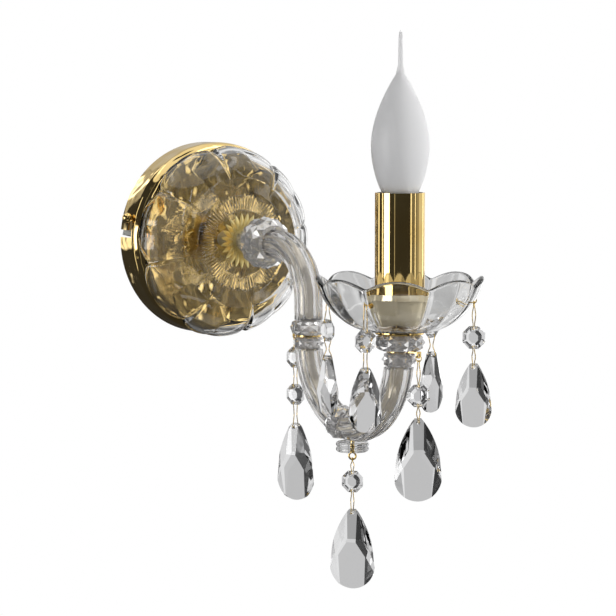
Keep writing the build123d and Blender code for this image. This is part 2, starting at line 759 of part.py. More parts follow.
# ---- bobeche: a petalled crystal dish that opens upwards ---------------------------------------------
bobeche_inside = bobeche_floor + bobeche_wall
bobeche_notches = petal_planes(Vector(0, -arm_projection, 0), up, Vector(1, 0, 0),
                               bobeche_notch_angle, bobeche_petals)
pin_angles = [bobeche_notch_angle + 90 * step for step in range(4)]
bobeche_lean, bobeche_rise = bobeche_belly_slope
bobeche_inner_floor = (bobeche_floor_radius - bobeche_inner_step, bobeche_inside)
with BuildPart() as bobeche:
    with BuildSketch(candle_plane):
        with BuildLine():
            ThreePointArc((bobeche_radius, bobeche_rim), (bobeche_belly_radius, bobeche_belly),
                          (bobeche_floor_radius, bobeche_floor))
            Polyline((bobeche_floor_radius, bobeche_floor), (tube_radius + bore_clearance, bobeche_floor),
                     (tube_radius + bore_clearance, bobeche_inside), bobeche_inner_floor)
            ThreePointArc(bobeche_inner_floor,
                          (bobeche_belly_radius - bobeche_lean * bobeche_wall,
                           bobeche_belly + bobeche_rise * bobeche_wall),
                          (bobeche_radius - bobeche_wall, bobeche_rim))
            Line((bobeche_radius - bobeche_wall, bobeche_rim), (bobeche_radius, bobeche_rim))
        make_face()
    revolve(axis=candle_axis)
    with BuildSketch(*bobeche_notches):
        with BuildLine():
            petal_notch(bobeche_radius * sin(pi / bobeche_petals), bobeche_rim, bobeche_notch_depth)
        make_face()
    extrude(amount=2 * bobeche_radius, mode=Mode.SUBTRACT)
    for notch in bobeche_notches:
        meridian = Plane(origin=notch.origin, x_dir=notch.z_dir, z_dir=-notch.x_dir)
        with BuildLine(meridian) as groove:
            ThreePointArc((bobeche_radius + flute_stand, bobeche_rim),
                          (bobeche_belly_radius + bobeche_lean * flute_stand,
                           bobeche_belly - bobeche_rise * flute_stand),
                          (bobeche_floor_radius + flute_stand, bobeche_floor - flute_stand / 2))
        with BuildSketch(Plane(origin=groove.line @ 0, z_dir=groove.line % 0)):
            Circle(flute_radius)
        sweep(path=groove.line, mode=Mode.SUBTRACT)
    for turned in pin_angles:
        out = Vector(cos(radians(turned)), sin(radians(turned)), 0)
        with BuildSketch(Plane(origin=Vector(0, -arm_projection, bobeche_hole_height), x_dir=up, z_dir=out)):
            Circle(bobeche_hole_radius)
        extrude(amount=2 * bobeche_radius, mode=Mode.SUBTRACT)
save("bobeche", bobeche.part)

with BuildPart() as bobeche_support:
    with BuildSketch(Plane(origin=(0, -arm_projection, support_bottom))):
        Circle(support_radius)
        Circle(tube_radius + bore_clearance, mode=Mode.SUBTRACT)
    extrude(amount=support_height)
    outer_edges = bobeche_support.edges().filter_by(GeomType.CIRCLE).group_by(SortBy.RADIUS)[-1]
    fillet(outer_edges, radius=support_round)
save("bobeche_support", bobeche_support.part)

# ---- candle cup with its nut, and the lampholder on its threaded leg ---------------------------------
cup_seat = sleeve_bottom - cup_gap
cup_seat_radius = sleeve_radius + cup_gap
cup_ledge_radius = cup_seat_radius - cup_seat_width
nut_bottom = bobeche_inside + cup_wall
leg_bottom = nut_bottom + nut_height
with BuildPart() as candle_cup:
    with BuildSketch(candle_plane):
        with BuildLine():
            Polyline((tube_radius + bore_clearance, bobeche_inside), (cup_base_radius, bobeche_inside),
                     (cup_ledge_radius + cup_wall, cup_seat - cup_wall),
                     (cup_seat_radius + cup_wall, cup_seat - cup_wall),
                     (cup_seat_radius + cup_wall, cup_rim),
                     (cup_seat_radius, cup_rim), (cup_seat_radius, cup_seat), (cup_ledge_radius, cup_seat),
                     (cup_base_radius - cup_wall, nut_bottom), (tube_radius + bore_clearance, nut_bottom),
                     close=True)
        make_face()
    revolve(axis=candle_axis)
save("candle_cup", candle_cup.part)

with BuildPart() as candle_nut:
    with BuildSketch(Plane(origin=(0, -arm_projection, nut_bottom))):
        RegularPolygon(nut_corner, 6)
        Circle(tube_radius, mode=Mode.SUBTRACT)
    extrude(amount=nut_height)
save("candle_nut", candle_nut.part)

with BuildPart() as holder_leg:
    with BuildSketch(Plane(origin=(0, -arm_projection, leg_bottom))):
        Circle(leg_radius)
        Circle(tube_radius, mode=Mode.SUBTRACT)
    extrude(amount=leg_top - leg_bottom)
save("holder_leg", holder_leg.part)

holder_inside = leg_top + holder_floor
with BuildPart() as holder_body:
    with BuildSketch(Plane(origin=(0, -arm_projection, leg_top))):
        Circle(holder_radius)
    extrude(amount=holder_height)
    with BuildSketch(Plane(origin=(0, -arm_projection, holder_inside))):
        Circle(shell_radius + shell_gap)
    extrude(amount=holder_height, mode=Mode.SUBTRACT)
    with BuildSketch(Plane(origin=(0, -arm_projection, leg_top))):
        with GridLocations(wire_spacing, 0, 2, 1):
            Circle(wire_radius + shell_gap)
    extrude(amount=wire_entry, mode=Mode.SUBTRACT)
    rim_edge = holder_body.edges().filter_by(GeomType.CIRCLE).sort_by(Axis.Z).sort_by(SortBy.RADIUS)[-2:]
    fillet(rim_edge, radius=holder_round)
save("holder_body", holder_body.part)

with BuildPart() as holder_shell:
    with BuildSketch(Plane(origin=(0, -arm_projection, shell_bottom))):
        Circle(shell_radius)
        Circle(shell_bore, mode=Mode.SUBTRACT)
    extrude(amount=shell_top - shell_bottom)
save("holder_shell", holder_shell.part)

with BuildPart() as holder_contact:
    with BuildSketch(Plane(origin=(0, -arm_projection, holder_inside))):
        RectangleRounded(contact_length, contact_width, contact_round)
    extrude(amount=contact_height)
save("holder_contact", holder_contact.part)

with BuildPart() as candle_sleeve:
    with BuildSketch(Plane(origin=(0, -arm_projection, sleeve_bottom))):
        Circle(sleeve_radius)
        Circle(sleeve_radius - sleeve_wall, mode=Mode.SUBTRACT)
    extrude(amount=sleeve_top - sleeve_bottom)
save("candle_sleeve", candle_sleeve.part)

# ---- candle lamp: drawn-out envelope, stem, and a screw cap with its contact -------------------------


def lamp_curve(inset):
    """The side of the flame-shaped envelope, from its neck to the root of the drawn tip."""
    waist = 0.5 * (lamp_neck_bottom + lamp_widest)
    upper = 0.5 * (lamp_widest + lamp_tip_start)
    return [(lamp_neck_radius - inset, lamp_neck_bottom),
            (lamp_waist_share * lamp_radius - inset, waist + lamp_waist_lift),
            (lamp_radius - inset, lamp_widest),
            (lamp_upper_share * lamp_radius - inset, upper),
            (lamp_root_share * (lamp_tip_radius - inset / 2), lamp_tip_start)]


with BuildPart() as lamp_envelope:
    with BuildSketch(candle_plane):
        with BuildLine():
            outer = Spline(lamp_curve(0))
            Polyline(outer @ 1, (lamp_tip_radius, lamp_tip_start + lamp_tip_root),
                     (lamp_point_share * lamp_tip_radius, lamp_top - lamp_tip_radius),
                     (0, lamp_top), (0, lamp_tip_start + lamp_tip_solid))
            inner = Spline(lamp_curve(lamp_glass))
            Line((0, lamp_tip_start + lamp_tip_solid), inner @ 1)
            Line(inner @ 0, outer @ 0)
        make_face()
    revolve(axis=candle_axis)
save("lamp_envelope", lamp_envelope.part)

thread_start = cap_skirt_bottom - cap_thread_step
thread_pitch = (thread_start - cap_bottom) / cap_turns
cap_inside = cap_root_radius - cap_wall
cap_outline = [(cap_skirt_radius, lamp_neck_bottom), (cap_skirt_radius, cap_skirt_bottom)]
for turn in range(cap_turns):
    thread_top = thread_start - turn * thread_pitch
    cap_outline += [(cap_root_radius, thread_top), (cap_thread_radius, thread_top - 0.35 * thread_pitch),
                    (cap_thread_radius, thread_top - 0.65 * thread_pitch)]
cap_outline += [(cap_root_radius, cap_bottom), (cap_inside, cap_bottom), (cap_inside, cap_skirt_bottom),
                (cap_skirt_radius - cap_wall, cap_skirt_bottom + cap_wall),
                (cap_skirt_radius - cap_wall, lamp_neck_bottom)]
with BuildPart() as lamp_cap:
    with BuildSketch(candle_plane):
        with BuildLine():
            Polyline(cap_outline, close=True)
        make_face()
    revolve(axis=candle_axis)
save("lamp_cap", lamp_cap.part)

insulator_bottom = cap_bottom - insulator_height
with BuildPart() as lamp_insulator:
    with BuildSketch(candle_plane):
        with BuildLine():
            Polyline((0, cap_bottom), (cap_root_radius, cap_bottom),
                     (insulator_tip_radius, insulator_bottom), (0, insulator_bottom), close=True)
        make_face()
    revolve(axis=candle_axis)
save("lamp_insulator", lamp_insulator.part)

with BuildPart() as lamp_contact:
    with BuildSketch(Plane(origin=(0, -arm_projection, insulator_bottom - lamp_contact_height))):
        Circle(lamp_contact_radius)
    extrude(amount=lamp_contact_height)
save("lamp_contact", lamp_contact.part)

filament_foot = stem_top - filament_sink
with BuildPart() as lamp_stem:
    with BuildSketch(Plane(origin=(0, -arm_projection, lamp_neck_bottom))):
        Circle(lamp_neck_radius - lamp_glass)
    extrude(amount=stem_flare)
    with BuildSketch(Plane(origin=(0, -arm_projection, lamp_neck_bottom))):
        Circle(stem_radius)
    extrude(amount=stem_top - lamp_neck_bottom)
    with BuildLine(candle_plane) as filament:
        FilletPolyline((-stem_radius / 2, filament_foot), (-filament_span, filament_top),
                       (filament_span, filament_top), (stem_radius / 2, filament_foot),
                       radius=filament_span / 3)
    with BuildSketch(Plane(origin=filament.line @ 0, z_dir=filament.line % 0)):
        Circle(filament_wire)
    sweep(path=filament.line)
save("lamp_stem", lamp_stem.part)

# ---- crystal pendants: octagon beads and faceted pear drops on brass wire loops ----------------------


def wire_loop(place, direction, top, bottom, half_width):
    """A closed loop of wire between two heights, upright, with its long sides apart in that direction."""
    upright = Plane(origin=(place.X, place.Y, 0), x_dir=direction, z_dir=direction.cross(up))
    with BuildPart() as loop:
        with BuildLine(upright) as loop_line:
            Line((half_width, (top + bottom) / 2), (half_width, top - half_width))
            CenterArc((0, top - half_width), half_width, 0, 180)
            Line((-half_width, top - half_width), (-half_width, bottom + half_width))
            CenterArc((0, bottom + half_width), half_width, 180, 180)
            Line((half_width, bottom + half_width), (half_width, (top + bottom) / 2))
        start = Vector(place.X, place.Y, (top + bottom) / 2) + direction * half_width
        with BuildSketch(Plane(origin=start, x_dir=direction, z_dir=up)):
            Circle(link_wire)
        sweep(path=loop_line.line)
    return loop.part


def rim_pin(turned):
    """The wire that goes out through the bobeche's wall and bends down to the first loop."""
    out = Vector(cos(radians(turned)), sin(radians(turned)), 0)
    axis_point = Vector(0, -arm_projection, 0)
    upright = Plane(origin=axis_point, x_dir=out, z_dir=out.cross(up))
    head_reach = bobeche_belly_radius - bobeche_lean * bobeche_wall + pin_head_step
    with BuildPart() as pin:
        with BuildLine(upright) as pin_line:
            Line((head_reach, bobeche_hole_height), (pin_reach - pin_bend, bobeche_hole_height))
            CenterArc((pin_reach - pin_bend, bobeche_hole_height - pin_bend), pin_bend, 90, -90)
            Line((pin_reach, bobeche_hole_height - pin_bend), (pin_reach, bobeche_hole_height - pin_leg))
        with BuildSketch(Plane(origin=pin_line.line @ 0, x_dir=up, z_dir=out)):
            Circle(link_wire)
        sweep(path=pin_line.line)
        head = Plane(origin=axis_point + out * (head_reach - 2 * link_wire) + up * bobeche_hole_height,
                     x_dir=up, z_dir=out)
        with BuildSketch(head):
            Circle(pin_head_radius)
        extrude(amount=2 * link_wire)
    return pin.part


def octagon_bead(place, height, direction):
    """A flat octagon crystal with two holes, facing that direction."""
    face = Plane(origin=Vector(place.X, place.Y, height), x_dir=up.cross(direction), z_dir=direction)
    corner = bead_across / 2 / cos(pi / bead_sides)
    table_corner = bead_table / cos(pi / bead_sides)
    half = bead_thickness / 2
    turn = 180 / bead_sides
    with BuildPart() as bead:
        with BuildSketch(face.offset(-bead_girdle / 2)):
            RegularPolygon(corner, bead_sides, rotation=turn)
        extrude(amount=bead_girdle)
        for side in (1, -1):
            with BuildSketch(face.offset(side * bead_girdle / 2)):
                RegularPolygon(corner, bead_sides, rotation=turn)
            with BuildSketch(face.offset(side * half)):
                RegularPolygon(table_corner, bead_sides, rotation=turn)
            loft(ruled=True)
        with BuildSketch(face.offset(-half)):
            with GridLocations(0, 2 * bead_hole_offset, 1, 2):
                Circle(bead_hole_radius)
        extrude(amount=bead_thickness, mode=Mode.SUBTRACT)
    return bead.part


def pear_drop(place, top, direction, height, width, thickness):
    """A pear-shaped crystal drop, cut with flat facets on both sides and drilled near its tip."""
    side = up.cross(direction)
    tip = Vector(place.X, place.Y, top)
    face = Plane(origin=tip, x_dir=side, z_dir=direction)
    centre = tip - up * (drop_centre_share * height)
    shoulder_across, shoulder_down = drop_shoulder_share
    widest = -drop_widest_share * height
    with BuildPart() as drop:
        with BuildSketch(face.offset(-thickness / 2)):
            with BuildLine():
                Line((drop_tip_half_width, 0), (-drop_tip_half_width, 0))
                for mirrored in (-1, 1):
                    ThreePointArc((mirrored * drop_tip_half_width, 0),
                                  (mirrored * shoulder_across * width / 2, -shoulder_down * height),
                                  (mirrored * width / 2, widest))
                ThreePointArc((-width / 2, widest), (0, -height), (width / 2, widest))
            make_face()
        extrude(amount=thickness)
        cuts = [(1, 1), (-1, 1), (1, -1), (-1, -1)]
        facets = [(facet, cut) for facet in DROP_SIDE_FACETS for cut in cuts]
        facets += [(facet, cut) for facet in DROP_MIDDLE_FACETS for cut in cuts[::2]]
        for corners, (across, deep) in facets:
            first, second, third = [tip + side * (across * x * width / 2) - up * (z * height)
                                    + direction * (deep * y * thickness / 2) for x, y, z in corners]
            normal = (second - first).cross(third - first)
            if normal.dot(first - centre) < 0:
                normal = -normal
            split(bisect_by=Plane(origin=first, z_dir=normal), keep=Keep.BOTTOM)
        with BuildSketch(face.offset(-thickness / 2)):
            with Locations((0, -drop_hole_depth)):
                Circle(drop_hole_radius)
        extrude(amount=thickness, mode=Mode.SUBTRACT)
    return drop.part


def save_group(name, pieces):
    """Writes several separate solids as one sub-part."""
    with BuildPart() as group:
        for piece in pieces:
            add(piece)
    save(name, group.part)


def hang(name, place, azimuth, wires, beads, last_link, last_half_width, size):
    """A pendant below its hook: wires, octagon beads, a last link and a pear drop."""
    direction = facing(azimuth)
    links = list(wires)
    for upper, lower in zip(beads, beads[1:]):
        links.append(wire_loop(place, direction, upper - bead_hole_offset + link_slack,
                               lower + bead_hole_offset - link_slack, link_half_width))
    drop_hole = beads[-1] - bead_hole_offset - last_link
    links.append(wire_loop(place, direction, beads[-1] - bead_hole_offset + link_slack,
                           drop_hole - link_slack, last_half_width))
    save_group(f"{name}_wires", links)
    save_group(f"{name}_bead", [octagon_bead(place, height, direction) for height in beads])
    save(f"{name}_drop", pear_drop(place, drop_hole + drop_hole_depth, direction, *size))


small_drop = (small_drop_height, small_drop_width, small_drop_thickness)
large_drop = (large_drop_height, large_drop_width, large_drop_thickness)
pin_loop_top = bobeche_hole_height - pin_leg
rim_bead = pin_loop_top - pin_loop - bead_hole_offset
rim_names = ("right_pendant", "back_pendant", "left_pendant", "front_pendant")
rim_facings = (right_facing, back_facing, left_facing, front_facing)
for name, turned, azimuth in zip(rim_names, pin_angles, rim_facings):
    place = Vector(0, -arm_projection, 0) + Vector(cos(radians(turned)), sin(radians(turned)), 0) * pin_reach
    loop = wire_loop(place, facing(azimuth), pin_loop_top, pin_loop_top - pin_loop - link_slack,
                     link_half_width)
    with BuildPart() as pin_and_loop:
        add(rim_pin(turned))
        add(loop)
    hang(name, place, azimuth, [pin_and_loop.part], [rim_bead], bobeche_link, link_half_width, small_drop)


def ear_wires(place, out, ring_top, azimuth, bead):
    """Two interlocked loops from the ear of a pendant ring to the first bead."""
    ear_hole = ring_top - ear_hole_depth
    small_top = ear_hole + link_slack / 2
    small_bottom = small_top - ring_height
    return [wire_loop(place, out, small_top, small_bottom, ring_half_width),
            wire_loop(place, facing(azimuth), small_bottom + ring_overlap,
                      bead + bead_hole_offset - link_slack, link_half_width)]


top_out = Vector(cos(radians(top_ear_angle)), sin(radians(top_ear_angle)), 0)
top_place = Vector(0, -arm_projection, 0) + top_out * top_ear_reach
hang("collar_pendant", top_place, collar_facing,
     ear_wires(top_place, top_out, top_ring_top, collar_facing, collar_bead),
     [collar_bead], collar_link, large_link_half_width, large_drop)

mid_place = Vector(0, mid_ear_reach - mid_line, 0)
hang("arm_pendant", mid_place, arm_facing,
     ear_wires(mid_place, Vector(0, 1, 0), mid_ring_top, arm_facing, arm_bead_high),
     [arm_bead_high, arm_bead_low], arm_link, large_link_half_width, large_drop)

eye_loop_top = eye_height - eye_radius + eye_wire + link_wire + link_slack / 2
finial_loop = wire_loop(eye_centre, eye_facing, eye_loop_top,
                        finial_bead + bead_hole_offset - link_slack, link_half_width)
hang("finial_pendant", eye_centre, finial_facing, [finial_loop], [finial_bead],
     finial_link, large_link_half_width, large_drop)
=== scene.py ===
import json
import math

import bpy
import numpy as np
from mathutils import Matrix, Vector


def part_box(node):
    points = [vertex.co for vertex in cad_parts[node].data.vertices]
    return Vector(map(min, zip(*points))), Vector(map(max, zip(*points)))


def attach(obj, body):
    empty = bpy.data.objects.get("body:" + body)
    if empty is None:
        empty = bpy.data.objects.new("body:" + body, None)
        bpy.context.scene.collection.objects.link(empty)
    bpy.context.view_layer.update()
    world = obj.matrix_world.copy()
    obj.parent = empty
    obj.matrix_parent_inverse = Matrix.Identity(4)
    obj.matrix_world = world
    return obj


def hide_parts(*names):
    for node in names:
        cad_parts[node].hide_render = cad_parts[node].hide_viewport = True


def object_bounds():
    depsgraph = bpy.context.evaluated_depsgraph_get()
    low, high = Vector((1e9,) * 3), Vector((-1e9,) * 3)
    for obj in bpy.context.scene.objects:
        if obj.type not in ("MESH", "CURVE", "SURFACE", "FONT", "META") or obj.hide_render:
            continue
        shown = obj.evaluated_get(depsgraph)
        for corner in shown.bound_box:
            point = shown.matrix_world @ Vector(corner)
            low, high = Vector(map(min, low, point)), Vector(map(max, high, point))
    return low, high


# A crystal wall sconce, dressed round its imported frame. Meshes are written in millimetres of the shared
# frame: X to the right along the wall, -Y out of the wall, Z up. Azimuth 0 is straight out of the wall, and
# positive azimuths turn towards +X. The camera, the lamp and the floor are in metres.
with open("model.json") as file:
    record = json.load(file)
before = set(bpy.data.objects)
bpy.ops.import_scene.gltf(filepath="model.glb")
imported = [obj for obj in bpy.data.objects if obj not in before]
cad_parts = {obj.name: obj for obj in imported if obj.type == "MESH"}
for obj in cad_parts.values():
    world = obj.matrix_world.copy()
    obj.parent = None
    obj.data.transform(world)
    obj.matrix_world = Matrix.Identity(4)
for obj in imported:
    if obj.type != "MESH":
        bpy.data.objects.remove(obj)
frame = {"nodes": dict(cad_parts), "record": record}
cad_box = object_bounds()
nodes = frame["nodes"]
MM = 0.001


def add_object(name, data):
    """A new object in the scene."""
    thing = bpy.data.objects.new(name, data)
    bpy.context.scene.collection.objects.link(thing)
    return thing


# ---- camera --------------------------------------------------------------------------------------
# Its place is in metres, its angles are in degrees, and its lens and sensor are in millimetres.
CAMERA_PLACE = (-0.7590, -1.3334, 0.0889)
CAMERA_YAW = -32.29
CAMERA_PITCH = -5.14
CAMERA_LENS = 130.8
CAMERA_SENSOR = 36.0
CAMERA_CLIP = (0.05, 50.0)


def make_camera():
    """The photograph's camera, solved from the arm, the canopy's rim and the bobeche."""
    data = bpy.data.cameras.new("camera")
    data.lens = CAMERA_LENS
    data.sensor_width = CAMERA_SENSOR
    data.clip_start, data.clip_end = CAMERA_CLIP
    camera = add_object("camera", data)
    camera.location = CAMERA_PLACE
    camera.rotation_euler = (math.radians(90 + CAMERA_PITCH), 0, math.radians(CAMERA_YAW))
    bpy.context.scene.camera = camera


# ---- materials -----------------------------------------------------------------------------------
# Noise scales are per metre, and bump depths are in metres.
METAL_COLOUR_SCALE = 40
METAL_ROUGHNESS_SCALE = 120
MATTE_COLOUR_SCALE = 90
DRIFT_DETAIL = 2.0
DRIFT_EDGES = (0.35, 0.65)
GRAIN_DETAIL = 3.0
WAVE_DETAIL = 1.0
GLASS_WAVE_DEPTH = 0.0005
MATTE_GRAIN_DEPTH = 0.0003


def new_material(name):
    """A material with its node tree and its shader."""
    material = bpy.data.materials.new(name)
    material.use_nodes = True
    tree = material.node_tree
    return material, tree, tree.nodes["Principled BSDF"]


def add_noise(tree, scale, detail):
    """Noise in object space."""
    coords = tree.nodes.new("ShaderNodeTexCoord")
    noise = tree.nodes.new("ShaderNodeTexNoise")
    noise.inputs["Scale"].default_value = scale
    noise.inputs["Detail"].default_value = detail
    tree.links.new(coords.outputs["Object"], noise.inputs["Vector"])
    return noise.outputs["Fac"]


def add_bump(tree, shader, scale, strength, depth, detail=GRAIN_DETAIL):
    """Surface relief from noise."""
    noise = add_noise(tree, scale, detail)
    bump = tree.nodes.new("ShaderNodeBump")
    bump.inputs["Strength"].default_value = strength
    bump.inputs["Distance"].default_value = depth
    tree.links.new(noise, bump.inputs["Height"])
    tree.links.new(bump.outputs["Normal"], shader.inputs["Normal"])


def vary(tree, shader, socket, low, high, scale):
    """A slow drift of one shader value between two colours or levels."""
    noise = add_noise(tree, scale, DRIFT_DETAIL)
    ramp = tree.nodes.new("ShaderNodeValToRGB")
    for element, position, value in zip(ramp.color_ramp.elements, DRIFT_EDGES, (low, high)):
        element.position = position
        element.color = (*value, 1)
    tree.links.new(noise, ramp.inputs["Fac"])
    tree.links.new(ramp.outputs["Color"], shader.inputs[socket])


def metal(name, dark, light, roughness, bump, scale=900.0, depth=0.0002, metalness=1.0):
    """Plated or lacquered metal. A metalness under 1 lets some of its colour show unmirrored."""
    material, tree, shader = new_material(name)
    shader.inputs["Metallic"].default_value = metalness
    smoothest, roughest = roughness
    vary(tree, shader, "Base Color", dark, light, METAL_COLOUR_SCALE)
    vary(tree, shader, "Roughness", (smoothest,) * 3, (roughest,) * 3, METAL_ROUGHNESS_SCALE)
    add_bump(tree, shader, scale, bump, depth)
    return material


def glass(name, tint, ior, wave, scale, clearness=1.0, silver=0.0):
    """Smooth glass with a slow wave in its faces. Silver is the share of light that its facets mirror."""
    material, tree, shader = new_material(name)
    shader.inputs["Base Color"].default_value = (*tint, 1)
    shader.inputs["Roughness"].default_value = 0.0
    shader.inputs["IOR"].default_value = ior
    shader.inputs["Transmission Weight"].default_value = clearness
    shader.inputs["Metallic"].default_value = silver
    add_bump(tree, shader, scale, wave, GLASS_WAVE_DEPTH, WAVE_DETAIL)
    return material


def matte(name, dark, light, roughness, bump, scale):
    """Plastic or glass paste with a fine grain."""
    material, tree, shader = new_material(name)
    shader.inputs["Roughness"].default_value = roughness
    vary(tree, shader, "Base Color", dark, light, MATTE_COLOUR_SCALE)
    add_bump(tree, shader, scale, bump, MATTE_GRAIN_DEPTH)
    return material


def frosted(name):
    """The lamp's etched bulb: half clear, half white."""
    material, tree, shader = new_material(name)
    shader.inputs["Base Color"].default_value = (0.98, 0.98, 0.985, 1)
    shader.inputs["Roughness"].default_value = 0.38
    shader.inputs["IOR"].default_value = 1.45
    shader.inputs["Transmission Weight"].default_value = 0.55
    add_bump(tree, shader, scale=2500, strength=0.05, depth=0.0002)
    return material


gold = metal("polished_gold", (0.80, 0.56, 0.20), (0.86, 0.64, 0.27), (0.05, 0.09), 0.03)
# The canopy's face shows a slow hand-spun wave in place of a fine grain.
spun_gold = metal("spun_gold", (0.74, 0.53, 0.20), (0.84, 0.63, 0.28), (0.04, 0.10), 0.9,
                  scale=19.0, depth=0.0058)
# The leaves' gilt is lighter than the rest, with some of it unmirrored: painted sheen, which stands in for
# bright reflections where the leaves face a dim part of the studio.
leaf_gold_painted_sheen = metal("leaf_gold_painted_sheen", (0.97, 0.80, 0.36), (0.99, 0.87, 0.45), (0.08, 0.16), 0.10, metalness=0.62)
# The candle cup's gold is paler, with some of it unmirrored: a painted reflection of the pale light that the
# bobeche's glass shows over it.
cup_painted_reflection = metal("cup_gold_painted_reflection", (0.94, 0.82, 0.56), (0.98, 0.89, 0.68), (0.10, 0.18), 0.05, metalness=0.4)
# The arm tube's brass is paler, with some of it unmirrored: a painted reflection of the white light that its
# glass covers show.
tube_brass_painted_reflection = metal("tube_brass_painted_reflection", (0.94, 0.80, 0.52), (0.98, 0.92, 0.78), (0.08, 0.16), 0.05, metalness=0.45)
wire_brass = metal("brass_wire", (0.80, 0.58, 0.20), (0.90, 0.68, 0.30), (0.14, 0.22), 0.05)
zinc = metal("zinc_plated", (0.62, 0.62, 0.60), (0.74, 0.74, 0.70), (0.25, 0.38), 0.15)
copper = metal("holder_copper", (0.72, 0.50, 0.28), (0.82, 0.60, 0.36), (0.22, 0.32), 0.10)
plated = metal("plated_cap", (0.75, 0.68, 0.48), (0.86, 0.78, 0.56), (0.18, 0.28), 0.10)
solder = metal("solder", (0.60, 0.60, 0.58), (0.74, 0.74, 0.72), (0.35, 0.50), 0.30)
clear = glass("clear_crystal", (0.965, 0.965, 0.962), 1.5, 0.35, 70)
cut = glass("cut_crystal", (0.97, 0.97, 0.975), 1.54, 0.02, 200)
# These two keep a little matt white of their own: painted sparkle, for the light that the many small cuts,
# which no mesh here repeats, send back.
sparkle = glass("sparkling_crystal", (0.998, 0.988, 0.985), 1.5, 0.1, 230, clearness=0.76, silver=0.34)
streaked = glass("streaked_crystal", (0.985, 0.975, 0.97), 1.5, 0.1, 70, clearness=0.90)
holder_plastic = matte("holder_plastic", (0.88, 0.86, 0.80), (0.93, 0.91, 0.86), 0.45, 0.15, 1500)
terminal_plastic = matte("terminal_plastic", (0.86, 0.86, 0.83), (0.92, 0.92, 0.90), 0.5, 0.15, 1500)
sheath = matte("wire_sheath", (0.50, 0.37, 0.20), (0.60, 0.46, 0.28), 0.5, 0.3, 2000)
vitrite = matte("cap_glass", (0.03, 0.03, 0.035), (0.06, 0.06, 0.07), 0.15, 0.1, 400)
bulb = frosted("frosted_bulb")

BY_SLOT = {
    "polished_gold": gold, "brass_wire": wire_brass, "clear_crystal": clear, "cut_crystal": cut,
    "frosted_bulb": bulb, "plated_cap": plated, "cap_glass": vitrite, "solder": solder,
    "filament_stem": clear, "zinc_plated": zinc, "holder_plastic": holder_plastic,
    "terminal_plastic": terminal_plastic, "wire_sheath": sheath, "holder_copper": copper,
}
# The candle cup and the arm tube take paler golds: painted reflection of the glass round them.
BY_NODE = {"canopy": spun_gold, "arm_tube": tube_brass_painted_reflection, "candle_cup": cup_painted_reflection}


def dress_cad_nodes():
    """Gives every node its material: its own where it has one, or else its slot's."""
    slots = {entry["node"]: entry["material_slot"] for entry in frame["record"]["subparts"]}
    for name, node in nodes.items():
        material = BY_NODE[name] if name in BY_NODE else BY_SLOT[slots[name]]
        node.data.materials.clear()
        node.data.materials.append(material)


# ---- world, light and floor ----------------------------------------------------------------------
# The camera sees plain white, and matt surfaces are lit by one plain level. Rays that pass through glass
# see a white room with grey panels and dark flags. Reflections see a dim studio with soft boxes and strips.
# A panel is its azimuths from left to right, its elevations from low to high, and its brightness.
GLASS_ROOM = 0.80
GLASS_PANELS = [
    # dark rings overhead and underfoot, for the upper and lower edges of bowls and drops
    (-180, 180, 38, 75, 0.10),
    (-180, 180, -75, -36, 0.16),
    # greys straight behind the object, as the camera sees it
    (139, 155, -12, 14, 0.56),
    (138, 157, -34, -15, 0.40),
    # dark flags at both sides of those, with one light line
    (157, 180, -34, 12, 0.035),
    (-180, -160, -34, 12, 0.035),
    (173, 176, -16, 2, 0.65),
    (112, 119, 4, 18, 0.04),
    # dark flags at both sides of the wall
    (-122, -102, -30, 34, 0.12),
    (100, 108, -12, 28, 0.10),
    # greys in front, for light that facets send back
    (14, 62, -26, 22, 0.45),
    (-26, -12, -40, 40, 0.35),
]
MIRROR_ROOM = 0.04
MIRROR_PANELS = [
    # soft box at the left, and upright strips in front: the stripes of the sleeve and the canopy's rim
    (-112, -84, -12, 12, 5.0),
    (-59.6, -58, -30, 60, 0.9),
    (-22, -19, 8, 44, 3.0),
    (15, 21, -26, 60, 1.5),
    (23, 27, -26, 60, 0.20),
    (28, 31, -26, 60, 0.34),
    (31, 35, -26, 60, 0.14),
    (38, 42, -26, 60, 1.9),
    (46, 62, -26, 60, 0.35),
    # large soft screens at the right and behind the wall's plane
    (62, 150, -30, 75, 0.80),
    (150, 180, -2, 75, 0.60),
    (-180, -158, 4, 75, 0.50),
    # small soft box behind the wall's plane
    (-152, -143, -7, 6, 1.6),
    # overhead screen
    (-180, 180, 50, 82, 1.1),
    # bright strips beside and behind, for the canopy and the glass edges
    (94, 98, -30, 45, 3.5),
    (124, 128, -30, 45, 3.0),
    (-170, -166, -20, 45, 3.0),
    (-124, -120, -24, 30, 2.5),
    # short strips above and below
    (30, 100, 58, 65, 3.5),
    (-150, -100, 56, 62, 2.5),
    (-50, 10, -52, -46, 1.6),
    (90, 150, -54, -48, 2.2),
]
PANEL_EDGE = 1.2
AMBIENT = 0.74
# Light that glass reflects inside itself, and that crossed few faces, sees only this share of the dim studio.
INNER_SHARE = 0.15
FEW_CROSSINGS = 3.5
KEY_PLACE = Vector((1.1, -1.1, 0.4))
KEY_TARGET = Vector((0, -0.23, 0.06))
KEY_SIZE = (0.5, 1.2)
KEY_POWER = 18
FLOOR_SIZE = 2.4
FLOOR_BELOW = 1.0


